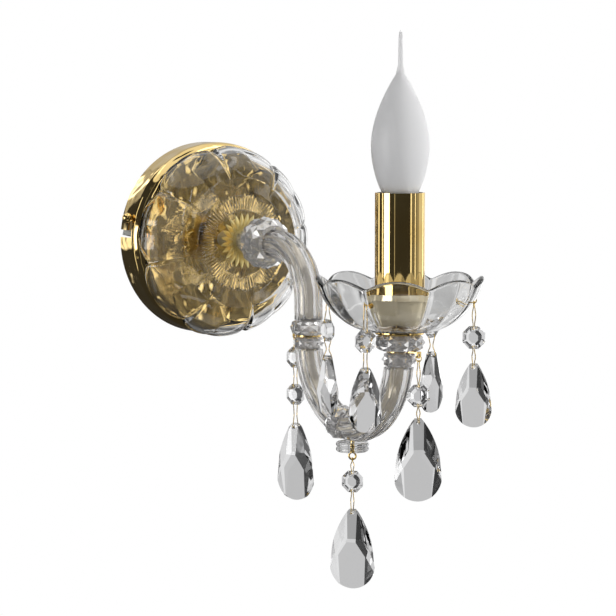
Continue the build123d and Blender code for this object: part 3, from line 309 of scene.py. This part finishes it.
class Wiring:
    """Adds maths nodes to one node tree. Values are numbers or sockets."""

    def __init__(self, tree):
        self.tree = tree

    def maths(self, operation, *values):
        node = self.tree.nodes.new("ShaderNodeMath")
        node.operation = operation
        for socket, value in zip(node.inputs, values):
            if isinstance(value, (int, float)):
                socket.default_value = value
            else:
                self.tree.links.new(value, socket)
        return node.outputs[0]

    def mix(self, share, one, other):
        """One where the share is 1, and the other where it is 0."""
        rest = self.maths("MULTIPLY", other, self.maths("SUBTRACT", 1.0, share))
        return self.maths("ADD", self.maths("MULTIPLY", share, one), rest)

    def ramp(self, value, start, end):
        """0 at the start and before, 1 at the end and beyond."""
        node = self.tree.nodes.new("ShaderNodeMapRange")
        node.inputs["From Min"].default_value = start
        node.inputs["From Max"].default_value = end
        self.tree.links.new(value, node.inputs["Value"])
        return node.outputs["Result"]

    def between(self, value, low, high):
        """1 between low and high, 0 outside, with soft edges."""
        rise = self.ramp(value, low - PANEL_EDGE, low + PANEL_EDGE)
        fall = self.ramp(value, high + PANEL_EDGE, high - PANEL_EDGE)
        return self.maths("MULTIPLY", rise, fall)

    def direction(self):
        """The azimuth and elevation of the ray, in degrees."""
        coords = self.tree.nodes.new("ShaderNodeTexCoord")
        split = self.tree.nodes.new("ShaderNodeSeparateXYZ")
        self.tree.links.new(coords.outputs["Generated"], split.inputs[0])
        x, y, z = split.outputs
        azimuth = self.maths("ARCTAN2", x, self.maths("MULTIPLY", y, -1.0))
        return self.maths("DEGREES", azimuth), self.maths("DEGREES", self.maths("ARCSINE", z))

    def room(self, azimuth, elevation, base, panels):
        """The brightness of a room with panels, in that direction. Later panels cover earlier ones."""
        level = base
        for left, right, low, high, bright in panels:
            inside = self.between(elevation, low, high)
            if left > -180 or right < 180:
                inside = self.maths("MULTIPLY", inside, self.between(azimuth, left, right))
            level = self.mix(inside, bright, level)
        return level

    def mirror_share(self, path):
        """How much of the dim studio a ray sees: all after a reflection, but little from inside glass."""
        bounced = self.maths("GREATER_THAN", path["Glossy Depth"], 0.5)
        few = self.maths("LESS_THAN", path["Transmission Depth"], FEW_CROSSINGS)
        inner = self.maths("MULTIPLY", path["Is Transmission Ray"], few)
        lost = self.maths("MULTIPLY", inner, 1 - INNER_SHARE)
        return self.maths("SUBTRACT", bounced, self.maths("MULTIPLY", bounced, lost))


def make_world():
    """White for the camera, a plain level for matt surfaces, and the two rooms for glass and reflections."""
    world = bpy.data.worlds.new("studio")
    bpy.context.scene.world = world
    world.use_nodes = True
    tree = world.node_tree
    tree.nodes.clear()
    wiring = Wiring(tree)
    azimuth, elevation = wiring.direction()
    path = tree.nodes.new("ShaderNodeLightPath").outputs
    rooms = wiring.mix(wiring.mirror_share(path),
                       wiring.room(azimuth, elevation, MIRROR_ROOM, MIRROR_PANELS),
                       wiring.room(azimuth, elevation, GLASS_ROOM, GLASS_PANELS))
    optical = wiring.maths("MAXIMUM", path["Is Transmission Ray"], path["Is Glossy Ray"])
    level = wiring.mix(path["Is Camera Ray"], 1.0, wiring.mix(optical, rooms, AMBIENT))
    background = tree.nodes.new("ShaderNodeBackground")
    background.inputs["Color"].default_value = (1, 1, 1, 1)
    out = tree.nodes.new("ShaderNodeOutputWorld")
    tree.links.new(level, background.inputs["Strength"])
    tree.links.new(background.outputs[0], out.inputs["Surface"])


def keep_from_optics(thing):
    """Glass and metal see the two rooms instead of this."""
    thing.visible_glossy = False
    thing.visible_transmission = False


def make_key_light():
    """One soft lamp at the front right."""
    data = bpy.data.lights.new("key", "AREA")
    data.shape = "RECTANGLE"
    data.size, data.size_y = KEY_SIZE
    data.energy = KEY_POWER
    light = add_object("key", data)
    light.location = KEY_PLACE
    light.rotation_euler = (KEY_TARGET - KEY_PLACE).to_track_quat("-Z", "Y").to_euler()
    keep_from_optics(light)


def make_floor():
    """A plain pale floor, below the sconce on its wall."""
    centre = (cad_box[0] + cad_box[1]) / 2
    height = cad_box[0].z - FLOOR_BELOW
    bpy.ops.mesh.primitive_plane_add(size=FLOOR_SIZE, location=(centre.x, centre.y, height))
    floor = bpy.context.object
    floor.name = "floor"
    material, _, shader = new_material("floor")
    shader.inputs["Base Color"].default_value = (0.85, 0.85, 0.85, 1)
    shader.inputs["Roughness"].default_value = 0.8
    floor.data.materials.append(material)
    keep_from_optics(floor)


# ---- mesh helpers --------------------------------------------------------------------------------
X, Y, Z = np.eye(3)
SPAN_STEPS = 10
# Wires start their first ring square to this way, which no wire follows.
ASKEW = (0.31, 0.52, 0.79)


def unit(azimuth):
    """The horizontal direction at that azimuth."""
    turn = math.radians(azimuth)
    return np.array((math.sin(turn), -math.cos(turn), 0.0))


def circle_turns(count):
    """Equal turns round a circle, in radians."""
    return 2 * math.pi * np.arange(count) / count


def enclosed(points, faces):
    """Signed volume inside a closed mesh: negative where its faces look inwards."""
    points = np.asarray(points)
    first = np.array([face[0] for face in faces])
    total = 0.0
    for offset in range(1, max(len(face) for face in faces) - 1):
        fans = [index for index, face in enumerate(faces) if len(face) > offset + 1]
        second = np.array([faces[index][offset] for index in fans])
        third = np.array([faces[index][offset + 1] for index in fans])
        corner = points[first[fans]]
        total += np.einsum("ij,ij->", corner, np.cross(points[second], points[third]))
    return total / 6


def add_piece(name, points, faces, material, body, node, smooth=True):
    """A closed mesh that stands for one node of a body, with its faces turned outwards."""
    if enclosed(points, faces) < 0:
        faces = [face[::-1] for face in faces]
    mesh = bpy.data.meshes.new(name)
    mesh.from_pydata((np.asarray(points) * MM).tolist(), [], faces)
    mesh.update()
    mesh.polygons.foreach_set("use_smooth", [smooth] * len(mesh.polygons))
    mesh.materials.append(material)
    piece = add_object(name, mesh)
    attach(piece, body)
    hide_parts(node)


def grid_faces(rows, columns, close_rows=True):
    """Quads of a grid whose columns close round; its rows close too unless told otherwise."""
    faces = []
    for row in range(rows if close_rows else rows - 1):
        below = row * columns
        above = (row + 1) % rows * columns
        for column in range(columns):
            after = (column + 1) % columns
            faces.append((below + column, above + column, above + after, below + after))
    return faces


def add_ring_piece(name, rings, material, node, smooth=True):
    """A closed piece of the fixed body, from rings whose last one meets the first."""
    rows, columns, _ = rings.shape
    add_piece(name, rings.reshape(-1, 3), grid_faces(rows, columns), material, "root", node, smooth)


def arc_through(first, middle, last, steps):
    """Points of the arc through three points."""
    (ax, ay), (bx, by), (cx, cy) = first, middle, last
    a, b, c = (x ** 2 + y ** 2 for x, y in (first, middle, last))
    twice = 2 * (ax * (by - cy) + bx * (cy - ay) + cx * (ay - by))
    ux = (a * (by - cy) + b * (cy - ay) + c * (ay - by)) / twice
    uy = (a * (cx - bx) + b * (ax - cx) + c * (bx - ax)) / twice
    radius = math.hypot(ax - ux, ay - uy)
    angles = np.unwrap([math.atan2(y - uy, x - ux) for x, y in (first, middle, last)])
    turn = np.linspace(angles[0], angles[2], steps)
    return np.column_stack((ux + radius * np.cos(turn), uy + radius * np.sin(turn)))


def lengths_along(line):
    """The length of a flat polyline up to each of its points."""
    return np.concatenate(([0.0], np.cumsum(np.hypot(*np.diff(line, axis=0).T))))


def resample(line, count, start):
    """The polyline from that share of its length to its end, in equal steps."""
    length = lengths_along(line)
    wanted = np.linspace(start * length[-1], length[-1], count)
    return np.column_stack([np.interp(wanted, length, line[:, axis]) for axis in (0, 1)])


def smooth_path(points, closed=True):
    """A Catmull-Rom curve through the points."""
    points = np.asarray(points, float)
    count = len(points)
    curve = []
    for span in range(count if closed else count - 1):
        index = [span - 1, span, span + 1, span + 2]
        index = [i % count for i in index] if closed else [min(max(i, 0), count - 1) for i in index]
        a, b, c, d = points[index]
        for step in range(SPAN_STEPS):
            t = step / SPAN_STEPS
            curve.append(0.5 * (2 * b + (c - a) * t + (2 * a - 5 * b + 4 * c - d) * t ** 2
                                + (3 * b - a - 3 * c + d) * t ** 3))
    if not closed:
        curve.append(points[-1])
    return np.array(curve)


def tube(path, radius, sides=8, closed=True):
    """Points and faces of a round wire along a path."""
    after = np.roll(path, -1, axis=0)
    before = np.roll(path, 1, axis=0)
    if not closed:
        after[-1], before[0] = path[-1], path[0]
    tangent = after - before
    tangent /= np.linalg.norm(tangent, axis=1)[:, None]
    turns = np.linspace(0, 2 * math.pi, sides, endpoint=False)
    normal = np.cross(tangent[0], ASKEW)
    rings = []
    for place, along in zip(path, tangent):
        normal = normal - along * normal.dot(along)
        normal /= np.linalg.norm(normal)
        across = np.cross(along, normal)
        rings.append(place + radius * (np.outer(np.cos(turns), normal) + np.outer(np.sin(turns), across)))
    faces = grid_faces(len(path), sides, close_rows=closed)
    if not closed:
        last = (len(path) - 1) * sides
        faces += [tuple(range(sides))[::-1], tuple(last + side for side in range(sides))]
    return np.concatenate(rings), faces


def join_shells(shells):
    """One list of points and faces from several."""
    points, faces, start = [], [], 0
    for shell_points, shell_faces in shells:
        points.append(shell_points)
        faces += [tuple(corner + start for corner in face) for face in shell_faces]
        start += len(shell_points)
    return np.concatenate(points), faces


# ---- the arm's line, as in the solids ------------------------------------------------------------
ARM_REACH = 98.0
BEND_RADIUS = 35.0
U_RADIUS = 51.0
ARM_DROP = 58.0
MID_LINE = ARM_REACH + BEND_RADIUS
U_MIDDLE = MID_LINE + U_RADIUS
PROJECTION = U_MIDDLE + U_RADIUS
CANDLE_AXIS = np.array((0.0, -PROJECTION, 0.0))

# ---- petalled bowls ------------------------------------------------------------------------------
# A bowl's outer face runs from its rim to its bore: an arc through three points, then straight runs. Each
# point is its distance from the axis and its height along it, towards the opening. Turns are counted in
# degrees from the start: from up to +X on the dish, and from +X towards the wall on the bobeche. Spear-shaped
# flutes run in from the notches between petals, and end at that distance from the axis.
PETALS = 8
DISH_SAG = 1.7
DISH = {
    "columns": 720, "rows": 96,
    "origin": -DISH_SAG * Z, "opening": Y, "start": Z, "notch_turn": 90 - 10.7,
    "arc": ((64.0, -24.6), (58.6, -37.8), (44.0, -49.4)),
    "runs": (((44.0, -49.4), (34.0, -51.0)), ((34.0, -51.0), (6.9, -51.0))),
    "wall": 3.6, "bore": 6.9, "rim_round": 1.0, "notch_depth": 6.5, "notch_soft": 0.02,
    "flute_width": 3.4, "flute_end": 36.0, "flute_depth": 0.36, "swell": 0.7, "swell_start": 40.0, "ribs": 80,
}
BOBECHE = {
    "columns": 320, "rows": 72,
    "origin": CANDLE_AXIS, "opening": Z, "start": X, "notch_turn": 31.0,
    "arc": ((50.0, -13.0), (41.0, -31.5), (23.0, -44.3)),
    "runs": (((23.0, -44.3), (14.0, -44.6)), ((14.0, -44.6), (5.15, -44.6))),
    "wall": 2.5, "bore": 5.15, "rim_round": 0.9, "notch_depth": 5.7, "notch_soft": 0.03,
    "flute_width": 3.0, "flute_end": 24.0, "flute_depth": 0.22, "swell": 0.7, "swell_start": 26.0, "ribs": 0,
}
ARC_STEPS = 90
RUN_STEPS = 40
RIM_STEPS = 7
NOTCH_POWER = 1.9
LEAST_FLUTE = 0.01
SWELL_FADE = 20
RIB_DEPTH = 0.32
RIB_INNER, RIB_INNER_FADE = 21.5, 2
RIB_OUTER, RIB_OUTER_FADE = 33.0, 3


def bowl_faces(bowl):
    """The bowl's outer and inner face as flat lines from rim to bore, and the way from outer to inner."""
    runs = [np.linspace(first, last, RUN_STEPS)[1:] for first, last in bowl["runs"]]
    outer = np.concatenate([arc_through(*bowl["arc"], ARC_STEPS)] + runs)
    slope = np.gradient(outer, axis=0)
    slope /= np.hypot(*slope.T)[:, None]
    inward = np.column_stack((slope[:, 1], -slope[:, 0]))
    inner = outer + inward * bowl["wall"]
    inner[:, 0] = np.maximum(inner[:, 0], bowl["bore"])
    return outer, inner, inward


def bowl_relief(bowl, turn, phase, away, reach):
    """How deep the outer face lies below plain at each reach: flute, swelled petal and fine ribs."""
    rim = bowl["arc"][0][0]
    width = bowl["flute_width"] * np.clip((reach - bowl["flute_end"]) / (rim - bowl["flute_end"]), 0, 1)
    beside = np.abs(reach * phase) / np.maximum(width, LEAST_FLUTE)
    flute = np.clip(1 - beside, 0, 1) * width * bowl["flute_depth"]
    swell = (bowl["swell"] * np.sin(np.pi * np.clip(away, 0, 1))
             * np.clip((reach - bowl["swell_start"]) / SWELL_FADE, 0, 1))
    relief = flute - swell
    if bowl["ribs"]:
        band = (np.clip((reach - RIB_INNER) / RIB_INNER_FADE, 0, 1)
                * np.clip((RIB_OUTER - reach) / RIB_OUTER_FADE, 0, 1))
        relief = relief + RIB_DEPTH * band * (0.5 + 0.5 * math.cos(bowl["ribs"] * turn))
    return relief


def rolled_rim(front, back, roundness):
    """The half round over the ends of the outer and the inner face."""
    middle = (front[0] + back[0]) / 2
    half = (front[0] - back[0]) / 2
    ahead = front[0] - front[1]
    ahead = ahead / np.hypot(*ahead) * np.hypot(*half)
    bend = np.linspace(0, math.pi, RIM_STEPS + 2)[1:-1]
    return middle + np.outer(np.cos(bend), -half) + np.outer(np.sin(bend), ahead) * roundness


def bowl_line(bowl, bowl_sides, turn):
    """The wall's closed outline at one turn: up the inner face, over the rim and down the outer face."""
    outer, inner, inward = bowl_sides
    half_pitch = math.pi / PETALS
    phase = (turn - math.radians(bowl["notch_turn"]) + half_pitch) % (2 * half_pitch) - half_pitch
    away = math.sqrt(phase ** 2 + bowl["notch_soft"] ** 2) / half_pitch
    notch = bowl["notch_depth"] * max(0.0, 1 - away) ** NOTCH_POWER
    lengths = lengths_along(outer)
    heights = np.abs(outer[:, 1] - outer[0, 1])
    cut_off = np.interp(notch, heights[:ARC_STEPS], lengths[:ARC_STEPS]) / lengths[-1]
    front = resample(outer, bowl["rows"], cut_off)
    back = resample(inner, bowl["rows"], cut_off)
    relief = bowl_relief(bowl, turn, phase, away, front[:, 0])
    front = front + resample(inward, bowl["rows"], cut_off) * relief[:, None]
    return np.concatenate((back[::-1], rolled_rim(front, back, bowl["rim_round"]), front))


def petal_bowl(name, bowl, node):
    """A thick bowl with a round, notched rim, spear-shaped flutes and, on the dish, a sunburst of ribs."""
    opening, start = bowl["opening"], bowl["start"]
    bowl_sides = bowl_faces(bowl)
    rings = np.zeros((2 * bowl["rows"] + RIM_STEPS, bowl["columns"], 3))
    for column, turn in enumerate(circle_turns(bowl["columns"])):
        line = bowl_line(bowl, bowl_sides, turn)
        out = start * math.cos(turn) + np.cross(opening, start) * math.sin(turn)
        rings[:, column] = bowl["origin"] + np.outer(line[:, 0], out) + np.outer(line[:, 1], opening)
    add_ring_piece(name, rings, clear, node)


# ---- gilt rosettes -------------------------------------------------------------------------------
LEAVES = 24
LEAF_SHEET = 0.6
LEAF_COLUMNS = 10
LEAF_ROWS = 9
LEAF_POINT = 0.8
LEAF_FOLD = 0.9
VALLEY_LIFT, TIP_LIFT = 0.55, 0.45
ROSETTE_BORE = 5.15


def rosette(name, node, back, hub, outer, valley, rise, curl):
    """A stamped ring of pointed leaves, each folded along its middle. Its back is that far from the wall."""
    share = np.linspace(0, 1, LEAF_ROWS)
    rings = np.zeros((2 * (LEAF_ROWS + 1), LEAVES * LEAF_COLUMNS, 3))
    for column, turn in enumerate(circle_turns(LEAVES * LEAF_COLUMNS)):
        point = 1 - abs((column % LEAF_COLUMNS) / LEAF_COLUMNS * 2 - 1)
        reach = valley + (outer - valley) * point ** LEAF_POINT
        radius = np.concatenate(([ROSETTE_BORE], hub + (reach - hub) * share))
        fold = LEAF_FOLD * point * np.sin(math.pi * share)
        lift = rise * share ** curl * (VALLEY_LIFT + TIP_LIFT * point) + fold
        depth = np.concatenate(([0.0], lift))
        flat = np.outer(radius, math.cos(turn) * X + math.sin(turn) * Z)
        front = flat - np.outer(back + LEAF_SHEET + depth, Y)
        rear = flat - np.outer(back + depth, Y)
        rings[:, column] = np.concatenate((front, rear[::-1]))
    add_ring_piece(name, rings, leaf_gold_painted_sheen, node, smooth=False)


# ---- cut crystal collars -------------------------------------------------------------------------
# A collar's frame is its origin, two ways across and the way along it. Its spans, and the barrel's start and
# end, are heights along that way.
STUD_HEIGHT = 1.3
COLLAR_BORE = 6.1
COLLAR_BEVEL = 2.6
COLLAR_BAND = (0.3, 0.7)
MID_UPPER = (-55.9, -46.5)
MID_LOWER = (-64.9, -56.7)
TOP_UPPER = (-56.5, -46.9)
TOP_LOWER = (-66.5, -57.3)
BOTTOM_SPAN = (-5.6, 5.6)
BOTTOM_TURN = math.radians(76.0)
BARREL_START = -52.4
BARREL_END = -90.9
BARREL_SOCKET = 3.2
SOCKET_RADIUS = 9.4
BARREL_BORE = 5.15
BARREL_POINTS = 14


def studded(name, node, collar_frame, profile, lining, points):
    """A crystal ring cut all round into four-sided pyramids. The lining is its bore, from far end to near."""
    origin, side, other, along = collar_frame
    turns = circle_turns(points)

    def circle(angles, radius, level):
        around = np.outer(np.cos(angles), side) + np.outer(np.sin(angles), other)
        return origin + radius * around + level * along

    rings = [circle(turns, radius, level) for level, radius in profile + lining]
    peaks = [circle(turns + math.pi / points, (near + far) / 2 + STUD_HEIGHT, (low + high) / 2)
             for (low, near), (high, far) in zip(profile, profile[1:])]
    faces = []
    studs = (len(profile) - 1) * points
    for index, corners in enumerate(grid_faces(len(rings), points)):
        if index < studs:
            peak = len(rings) * points + index
            faces += [(first, second, peak) for first, second in zip(corners, corners[1:] + corners[:1])]
        else:
            faces.append(corners)
    add_piece(name, np.concatenate(rings + peaks), faces, sparkle, "root", node, smooth=False)


def cut_ring(name, node, collar_frame, span, radius, points):
    """A low collar with three rows of pyramids."""
    low, high = span
    reach = radius - STUD_HEIGHT
    first, last = (low + share * (high - low) for share in COLLAR_BAND)
    profile = [(low, reach - COLLAR_BEVEL), (first, reach), (last, reach), (high, reach - COLLAR_BEVEL)]
    studded(name, node, collar_frame, profile, [(high, COLLAR_BORE), (low, COLLAR_BORE)], points)


def root_barrel():
    """The long crystal barrel at the arm's root: a slim neck in the gilt crown, then a wide cut body."""
    # distances out from the start, and radii
    body = [(0.0, 6.4), (6.5, 6.8), (12.5, 8.8), (18.0, 13.0), (23.0, 15.9), (28.0, 16.2), (33.5, 15.2)]
    profile = [(BARREL_START - out, radius) for out, radius in body] + [(BARREL_END, 12.0)]
    shoulder = BARREL_END + BARREL_SOCKET
    lining = [(BARREL_END, SOCKET_RADIUS), (shoulder, SOCKET_RADIUS), (shoulder, BARREL_BORE),
              (BARREL_START, BARREL_BORE)]
    studded("root_barrel", "root_collar", (np.zeros(3), X, Z, Y), profile, lining, BARREL_POINTS)


def arm_collars():
    """The collars on the arm's two upright lines, and the one low in its U."""
    middle = (-MID_LINE * Y, X, Y, Z)
    top = (CANDLE_AXIS, X, Y, Z)
    out = math.cos(BOTTOM_TURN) * Y - math.sin(BOTTOM_TURN) * Z
    along = -math.sin(BOTTOM_TURN) * Y - math.cos(BOTTOM_TURN) * Z
    bottom = (-U_MIDDLE * Y - ARM_DROP * Z + U_RADIUS * out, X, np.cross(along, X), along)
    cut_ring("mid_cut_upper", "mid_collar_upper", middle, MID_UPPER, radius=12.2, points=12)
    cut_ring("mid_cut_lower", "mid_collar_lower", middle, MID_LOWER, radius=10.4, points=11)
    cut_ring("top_cut_upper", "top_collar_upper", top, TOP_UPPER, radius=15.4, points=14)
    cut_ring("top_cut_lower", "top_collar_lower", top, TOP_LOWER, radius=10.8, points=11)
    cut_ring("bottom_cut", "bottom_collar", bottom, BOTTOM_SPAN, radius=11.4, points=11)


# ---- glass covers of the arm ---------------------------------------------------------------------
COVER_LOBES = 12
LOBE_COLUMNS = 8
COVER_GROOVE = 1.25
COVER_RADIUS = 9.0
COVER_BORE = 5.4
COVER_GAP = 0.3
# Arc spans and steps are in degrees. The upper cover's lead is its straight start before the bend, and its
# foot holds the heights of its straight end.
COVER_STEP = 1.5
UPPER_LEAD = 10.0
UPPER_FOOT = (-41.0, -46.2)
LOWER_ARC = (-6.6, -69.3)
RISING_ARC = (-82.7, -171.6)


def arc_path(centre, radius, first, last):
    """Points of an arc in the arm's plane; the angles run up from the wall's direction."""
    steps = max(2, int(abs(last - first) / COVER_STEP) + 1)
    turns = np.radians(np.linspace(first, last, steps))
    out, up = centre
    return np.column_stack((np.zeros(steps), out + radius * np.cos(turns), up + radius * np.sin(turns)))


def cover(name, node, path, ceiling=math.inf):
    """A thick tube with many rounded lobes along it, cut level at the ceiling."""
    tangent = np.gradient(path, axis=0)
    tangent /= np.linalg.norm(tangent, axis=1)[:, None]
    other = np.cross(tangent, X)
    columns = COVER_LOBES * LOBE_COLUMNS
    rings = np.zeros((2 * len(path), columns, 3))
    for column, turn in enumerate(circle_turns(columns)):
        reach = COVER_RADIUS - COVER_GROOVE * (1 - abs(math.cos(COVER_LOBES / 2 * turn)))
        way = math.cos(turn) * X + math.sin(turn) * other
        rings[:, column] = np.concatenate((path + reach * way, (path + COVER_BORE * way)[::-1]))
    rings[:, :, 2] = np.minimum(rings[:, :, 2], ceiling)
    add_ring_piece(name, rings, streaked, node)


def arm_covers():
    """One cover round the upper bend, one down to the bottom collar and one up from it."""
    lead = [(0, UPPER_LEAD - ARM_REACH, 0), (0, UPPER_LEAD / 2 - ARM_REACH, 0)]
    foot = [(0, -MID_LINE, height) for height in UPPER_FOOT]
    bend = arc_path((-ARM_REACH, -BEND_RADIUS), BEND_RADIUS, 90.0, 180.0)
    lower, rising = (arc_path((-U_MIDDLE, -ARM_DROP), U_RADIUS, *span) for span in (LOWER_ARC, RISING_ARC))
    cover("cover_upper", "arm_cover_upper", np.concatenate((lead, bend, foot)))
    cover("cover_lower", "arm_cover_lower", lower, MID_LOWER[0] - COVER_GAP)
    cover("cover_rising", "arm_cover_rising", rising, TOP_LOWER[0] - COVER_GAP)


# ---- pendant wires -------------------------------------------------------------------------------
# A bead's height is its middle's. Azimuths say which way a wire passes through a hole. A clear is how far a
# link's legs stand off there, so that they pass round the bead, the drop or the wire that they hang from.
# Between its holes, a link's legs are spread square to the camera's view.
WIRE_RADIUS = 0.3
LEG_HALF_GAP = 0.95
SPREAD_WAY = 57.7
SPREAD_SPAN = (0.42, 0.58)
LINK_TURN = 0.2
LINK_BEND, LINK_BEND_SHARE = 2.8, 0.22
LINK_TAPER = 0.85
BEAD_HOLE = 5.0
BEAD_CLEAR = 2.3
DROP_CLEAR = 2.9
RING_CLEAR = 0.9
PIN_REACH = 48.0
PIN_START = 38.6
PIN_HEIGHT = -26.0
PIN_RADIUS = WIRE_RADIUS + 0.05
# how far out beyond the pin's reach, and how far up
PIN_END = ((-0.6, 0.0), (0.8, 0.1), (1.4, 0.9), (1.5, 2.0))
PIN_HEAD, PIN_HEAD_RADIUS = 0.7, 1.7
ABOVE_PIN = 2.2 * WIRE_RADIUS
EAR_HOLE_DROP = 2.0
EAR_HOLE_SLACK = 0.15
EAR_RING_RADIUS = 2.0
EAR_RING_STEPS = 28
ABOVE_RING = 2.1 * WIRE_RADIUS
RIM_BEAD = -46.6
RIM_DROP_HOLE = -64.6
# Each rim pendant: its name, its pin's azimuth and the way that its drop faces.
RIM_PENDANTS = (("right", 121.0, 16.0), ("back", -149.0, -91.0),
                ("left", -59.0, -4.0), ("front", 31.0, -50.0))
COLLAR_EAR_REACH, COLLAR_EAR_WAY = 14.5, 17.0
ARM_EAR_REACH = 15.8
ABOVE_EYE = 1.6
FINIAL_WAY = -50.0


def link(place, top, bottom, ways, clears):
    """A closed wire through two holes. Its legs stand apart in between, as the camera sees them."""
    length = top - bottom
    bend = min(LINK_BEND, LINK_BEND_SHARE * length)
    stages = [(LINK_TURN, clears[0], ways[0]), (bend, LINK_TAPER * clears[0], ways[0])]
    stages += [(share * length, LEG_HALF_GAP, SPREAD_WAY) for share in SPREAD_SPAN]
    stages += [(length - bend, LINK_TAPER * clears[1], ways[1]), (length - LINK_TURN, clears[1], ways[1])]
    one_leg, other_leg, way = [], [], ways[0]
    for down, reach, wanted in stages:
        # The legs are alike, so they take the shorter turn to the wanted way or its opposite.
        way += (wanted - way + 90) % 180 - 90
        one_leg.append(place + reach * unit(way) + (top - down) * Z)
        other_leg.append(place - reach * unit(way) + (top - down) * Z)
    path = [place + top * Z] + one_leg + [place + bottom * Z] + other_leg[::-1]
    return tube(smooth_path(path), WIRE_RADIUS)


def ear_ring(centre, axis_way):
    """A small upright wire ring whose axis points that way."""
    side = unit(axis_way + 90)
    turns = np.linspace(0, 2 * math.pi, EAR_RING_STEPS, endpoint=False)
    path = centre + EAR_RING_RADIUS * (np.outer(np.cos(turns), side) + np.outer(np.sin(turns), Z))
    return tube(path, WIRE_RADIUS)


def rim_pin(way):
    """The pin through the bobeche's wall: a flat head inside, and an end turned up that keeps the link on."""
    out = unit(way)
    line = [(PIN_START, 0.0)] + [(PIN_REACH + beyond, rise) for beyond, rise in PIN_END]
    path = [CANDLE_AXIS + reach * out + (PIN_HEIGHT + rise) * Z for reach, rise in line]
    head = np.array([path[0], path[0] + PIN_HEAD * out])
    return [tube(smooth_path(path, closed=False), PIN_RADIUS, closed=False),
            tube(head, PIN_HEAD_RADIUS, sides=16, closed=False)]


def pendant_wires(name, place, way, shells, top, top_way, beads, drop_hole):
    """The wires of one pendant: from its hook to its beads, between them, and down to the drop."""
    top_clear = RING_CLEAR
    for bead in beads:
        shells.append(link(place, top, bead + BEAD_HOLE, (top_way, way), (top_clear, BEAD_CLEAR)))
        top, top_way, top_clear = bead - BEAD_HOLE, way, BEAD_CLEAR
    shells.append(link(place, top, drop_hole, (way, way), (BEAD_CLEAR, DROP_CLEAR)))
    points, faces = join_shells(shells)
    add_piece(f"{name}_thin_wires", points, faces, wire_brass, f"{name}_chain", f"{name}_wires")


def hang_from_rim(name, pin_way, way):
    """A pendant on its pin through the bobeche's rim."""
    place = CANDLE_AXIS + PIN_REACH * unit(pin_way)
    pendant_wires(name, place, way, rim_pin(pin_way), PIN_HEIGHT + ABOVE_PIN, pin_way + 90, [RIM_BEAD],
                  RIM_DROP_HOLE)


def hang_from_ear(name, place, ear_way, ear_top, way, beads, drop_hole):
    """A pendant on a small ring through the ear of a brass ring, which lies under a collar's upper tier."""
    low = ear_top - EAR_HOLE_DROP + EAR_HOLE_SLACK - 2 * EAR_RING_RADIUS
    shells = [ear_ring(place + (low + EAR_RING_RADIUS) * Z, ear_way + 90)]
    pendant_wires(name, place, way, shells, low + ABOVE_RING, ear_way + 90, beads, drop_hole)


def hang_pendants():
    """Four pendants on the bobeche, one on the top collar, one on the middle collar and one on the finial."""
    for side, pin_way, way in RIM_PENDANTS:
        hang_from_rim(f"{side}_pendant", pin_way, way)
    collar_ear = CANDLE_AXIS + COLLAR_EAR_REACH * unit(COLLAR_EAR_WAY)
    hang_from_ear("collar_pendant", collar_ear, COLLAR_EAR_WAY, TOP_UPPER[0],
                  way=-25.0, beads=[-82.8], drop_hole=-99.1)
    arm_ear = (ARM_EAR_REACH - MID_LINE) * Y
    hang_from_ear("arm_pendant", arm_ear, 180.0, MID_UPPER[0],
                  way=-68.0, beads=[-72.0, -96.0], drop_hole=-117.3)
    eye_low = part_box("finial_eye")[0][2] / MM
    pendant_wires("finial_pendant", -U_MIDDLE * Y, FINIAL_WAY, [], eye_low + ABOVE_EYE, FINIAL_WAY,
                  beads=[-143.3], drop_hole=-163.3)


make_camera()
make_world()
dress_cad_nodes()
make_key_light()
petal_bowl("dish_glass", DISH, "glass_dish")
petal_bowl("bobeche_glass", BOBECHE, "bobeche")
rosette("star_leaves", "rosette_star", back=51.0, hub=9.0, outer=18.5, valley=12.5, rise=2.4, curl=1.4)
rosette("crown_leaves", "rosette_crown", back=51.7, hub=7.8, outer=17.0, valley=10.8, rise=8.6, curl=0.9)
root_barrel()
arm_collars()
arm_covers()
hang_pendants()
make_floor()

bpy.context.scene.view_settings.view_transform = "Standard"
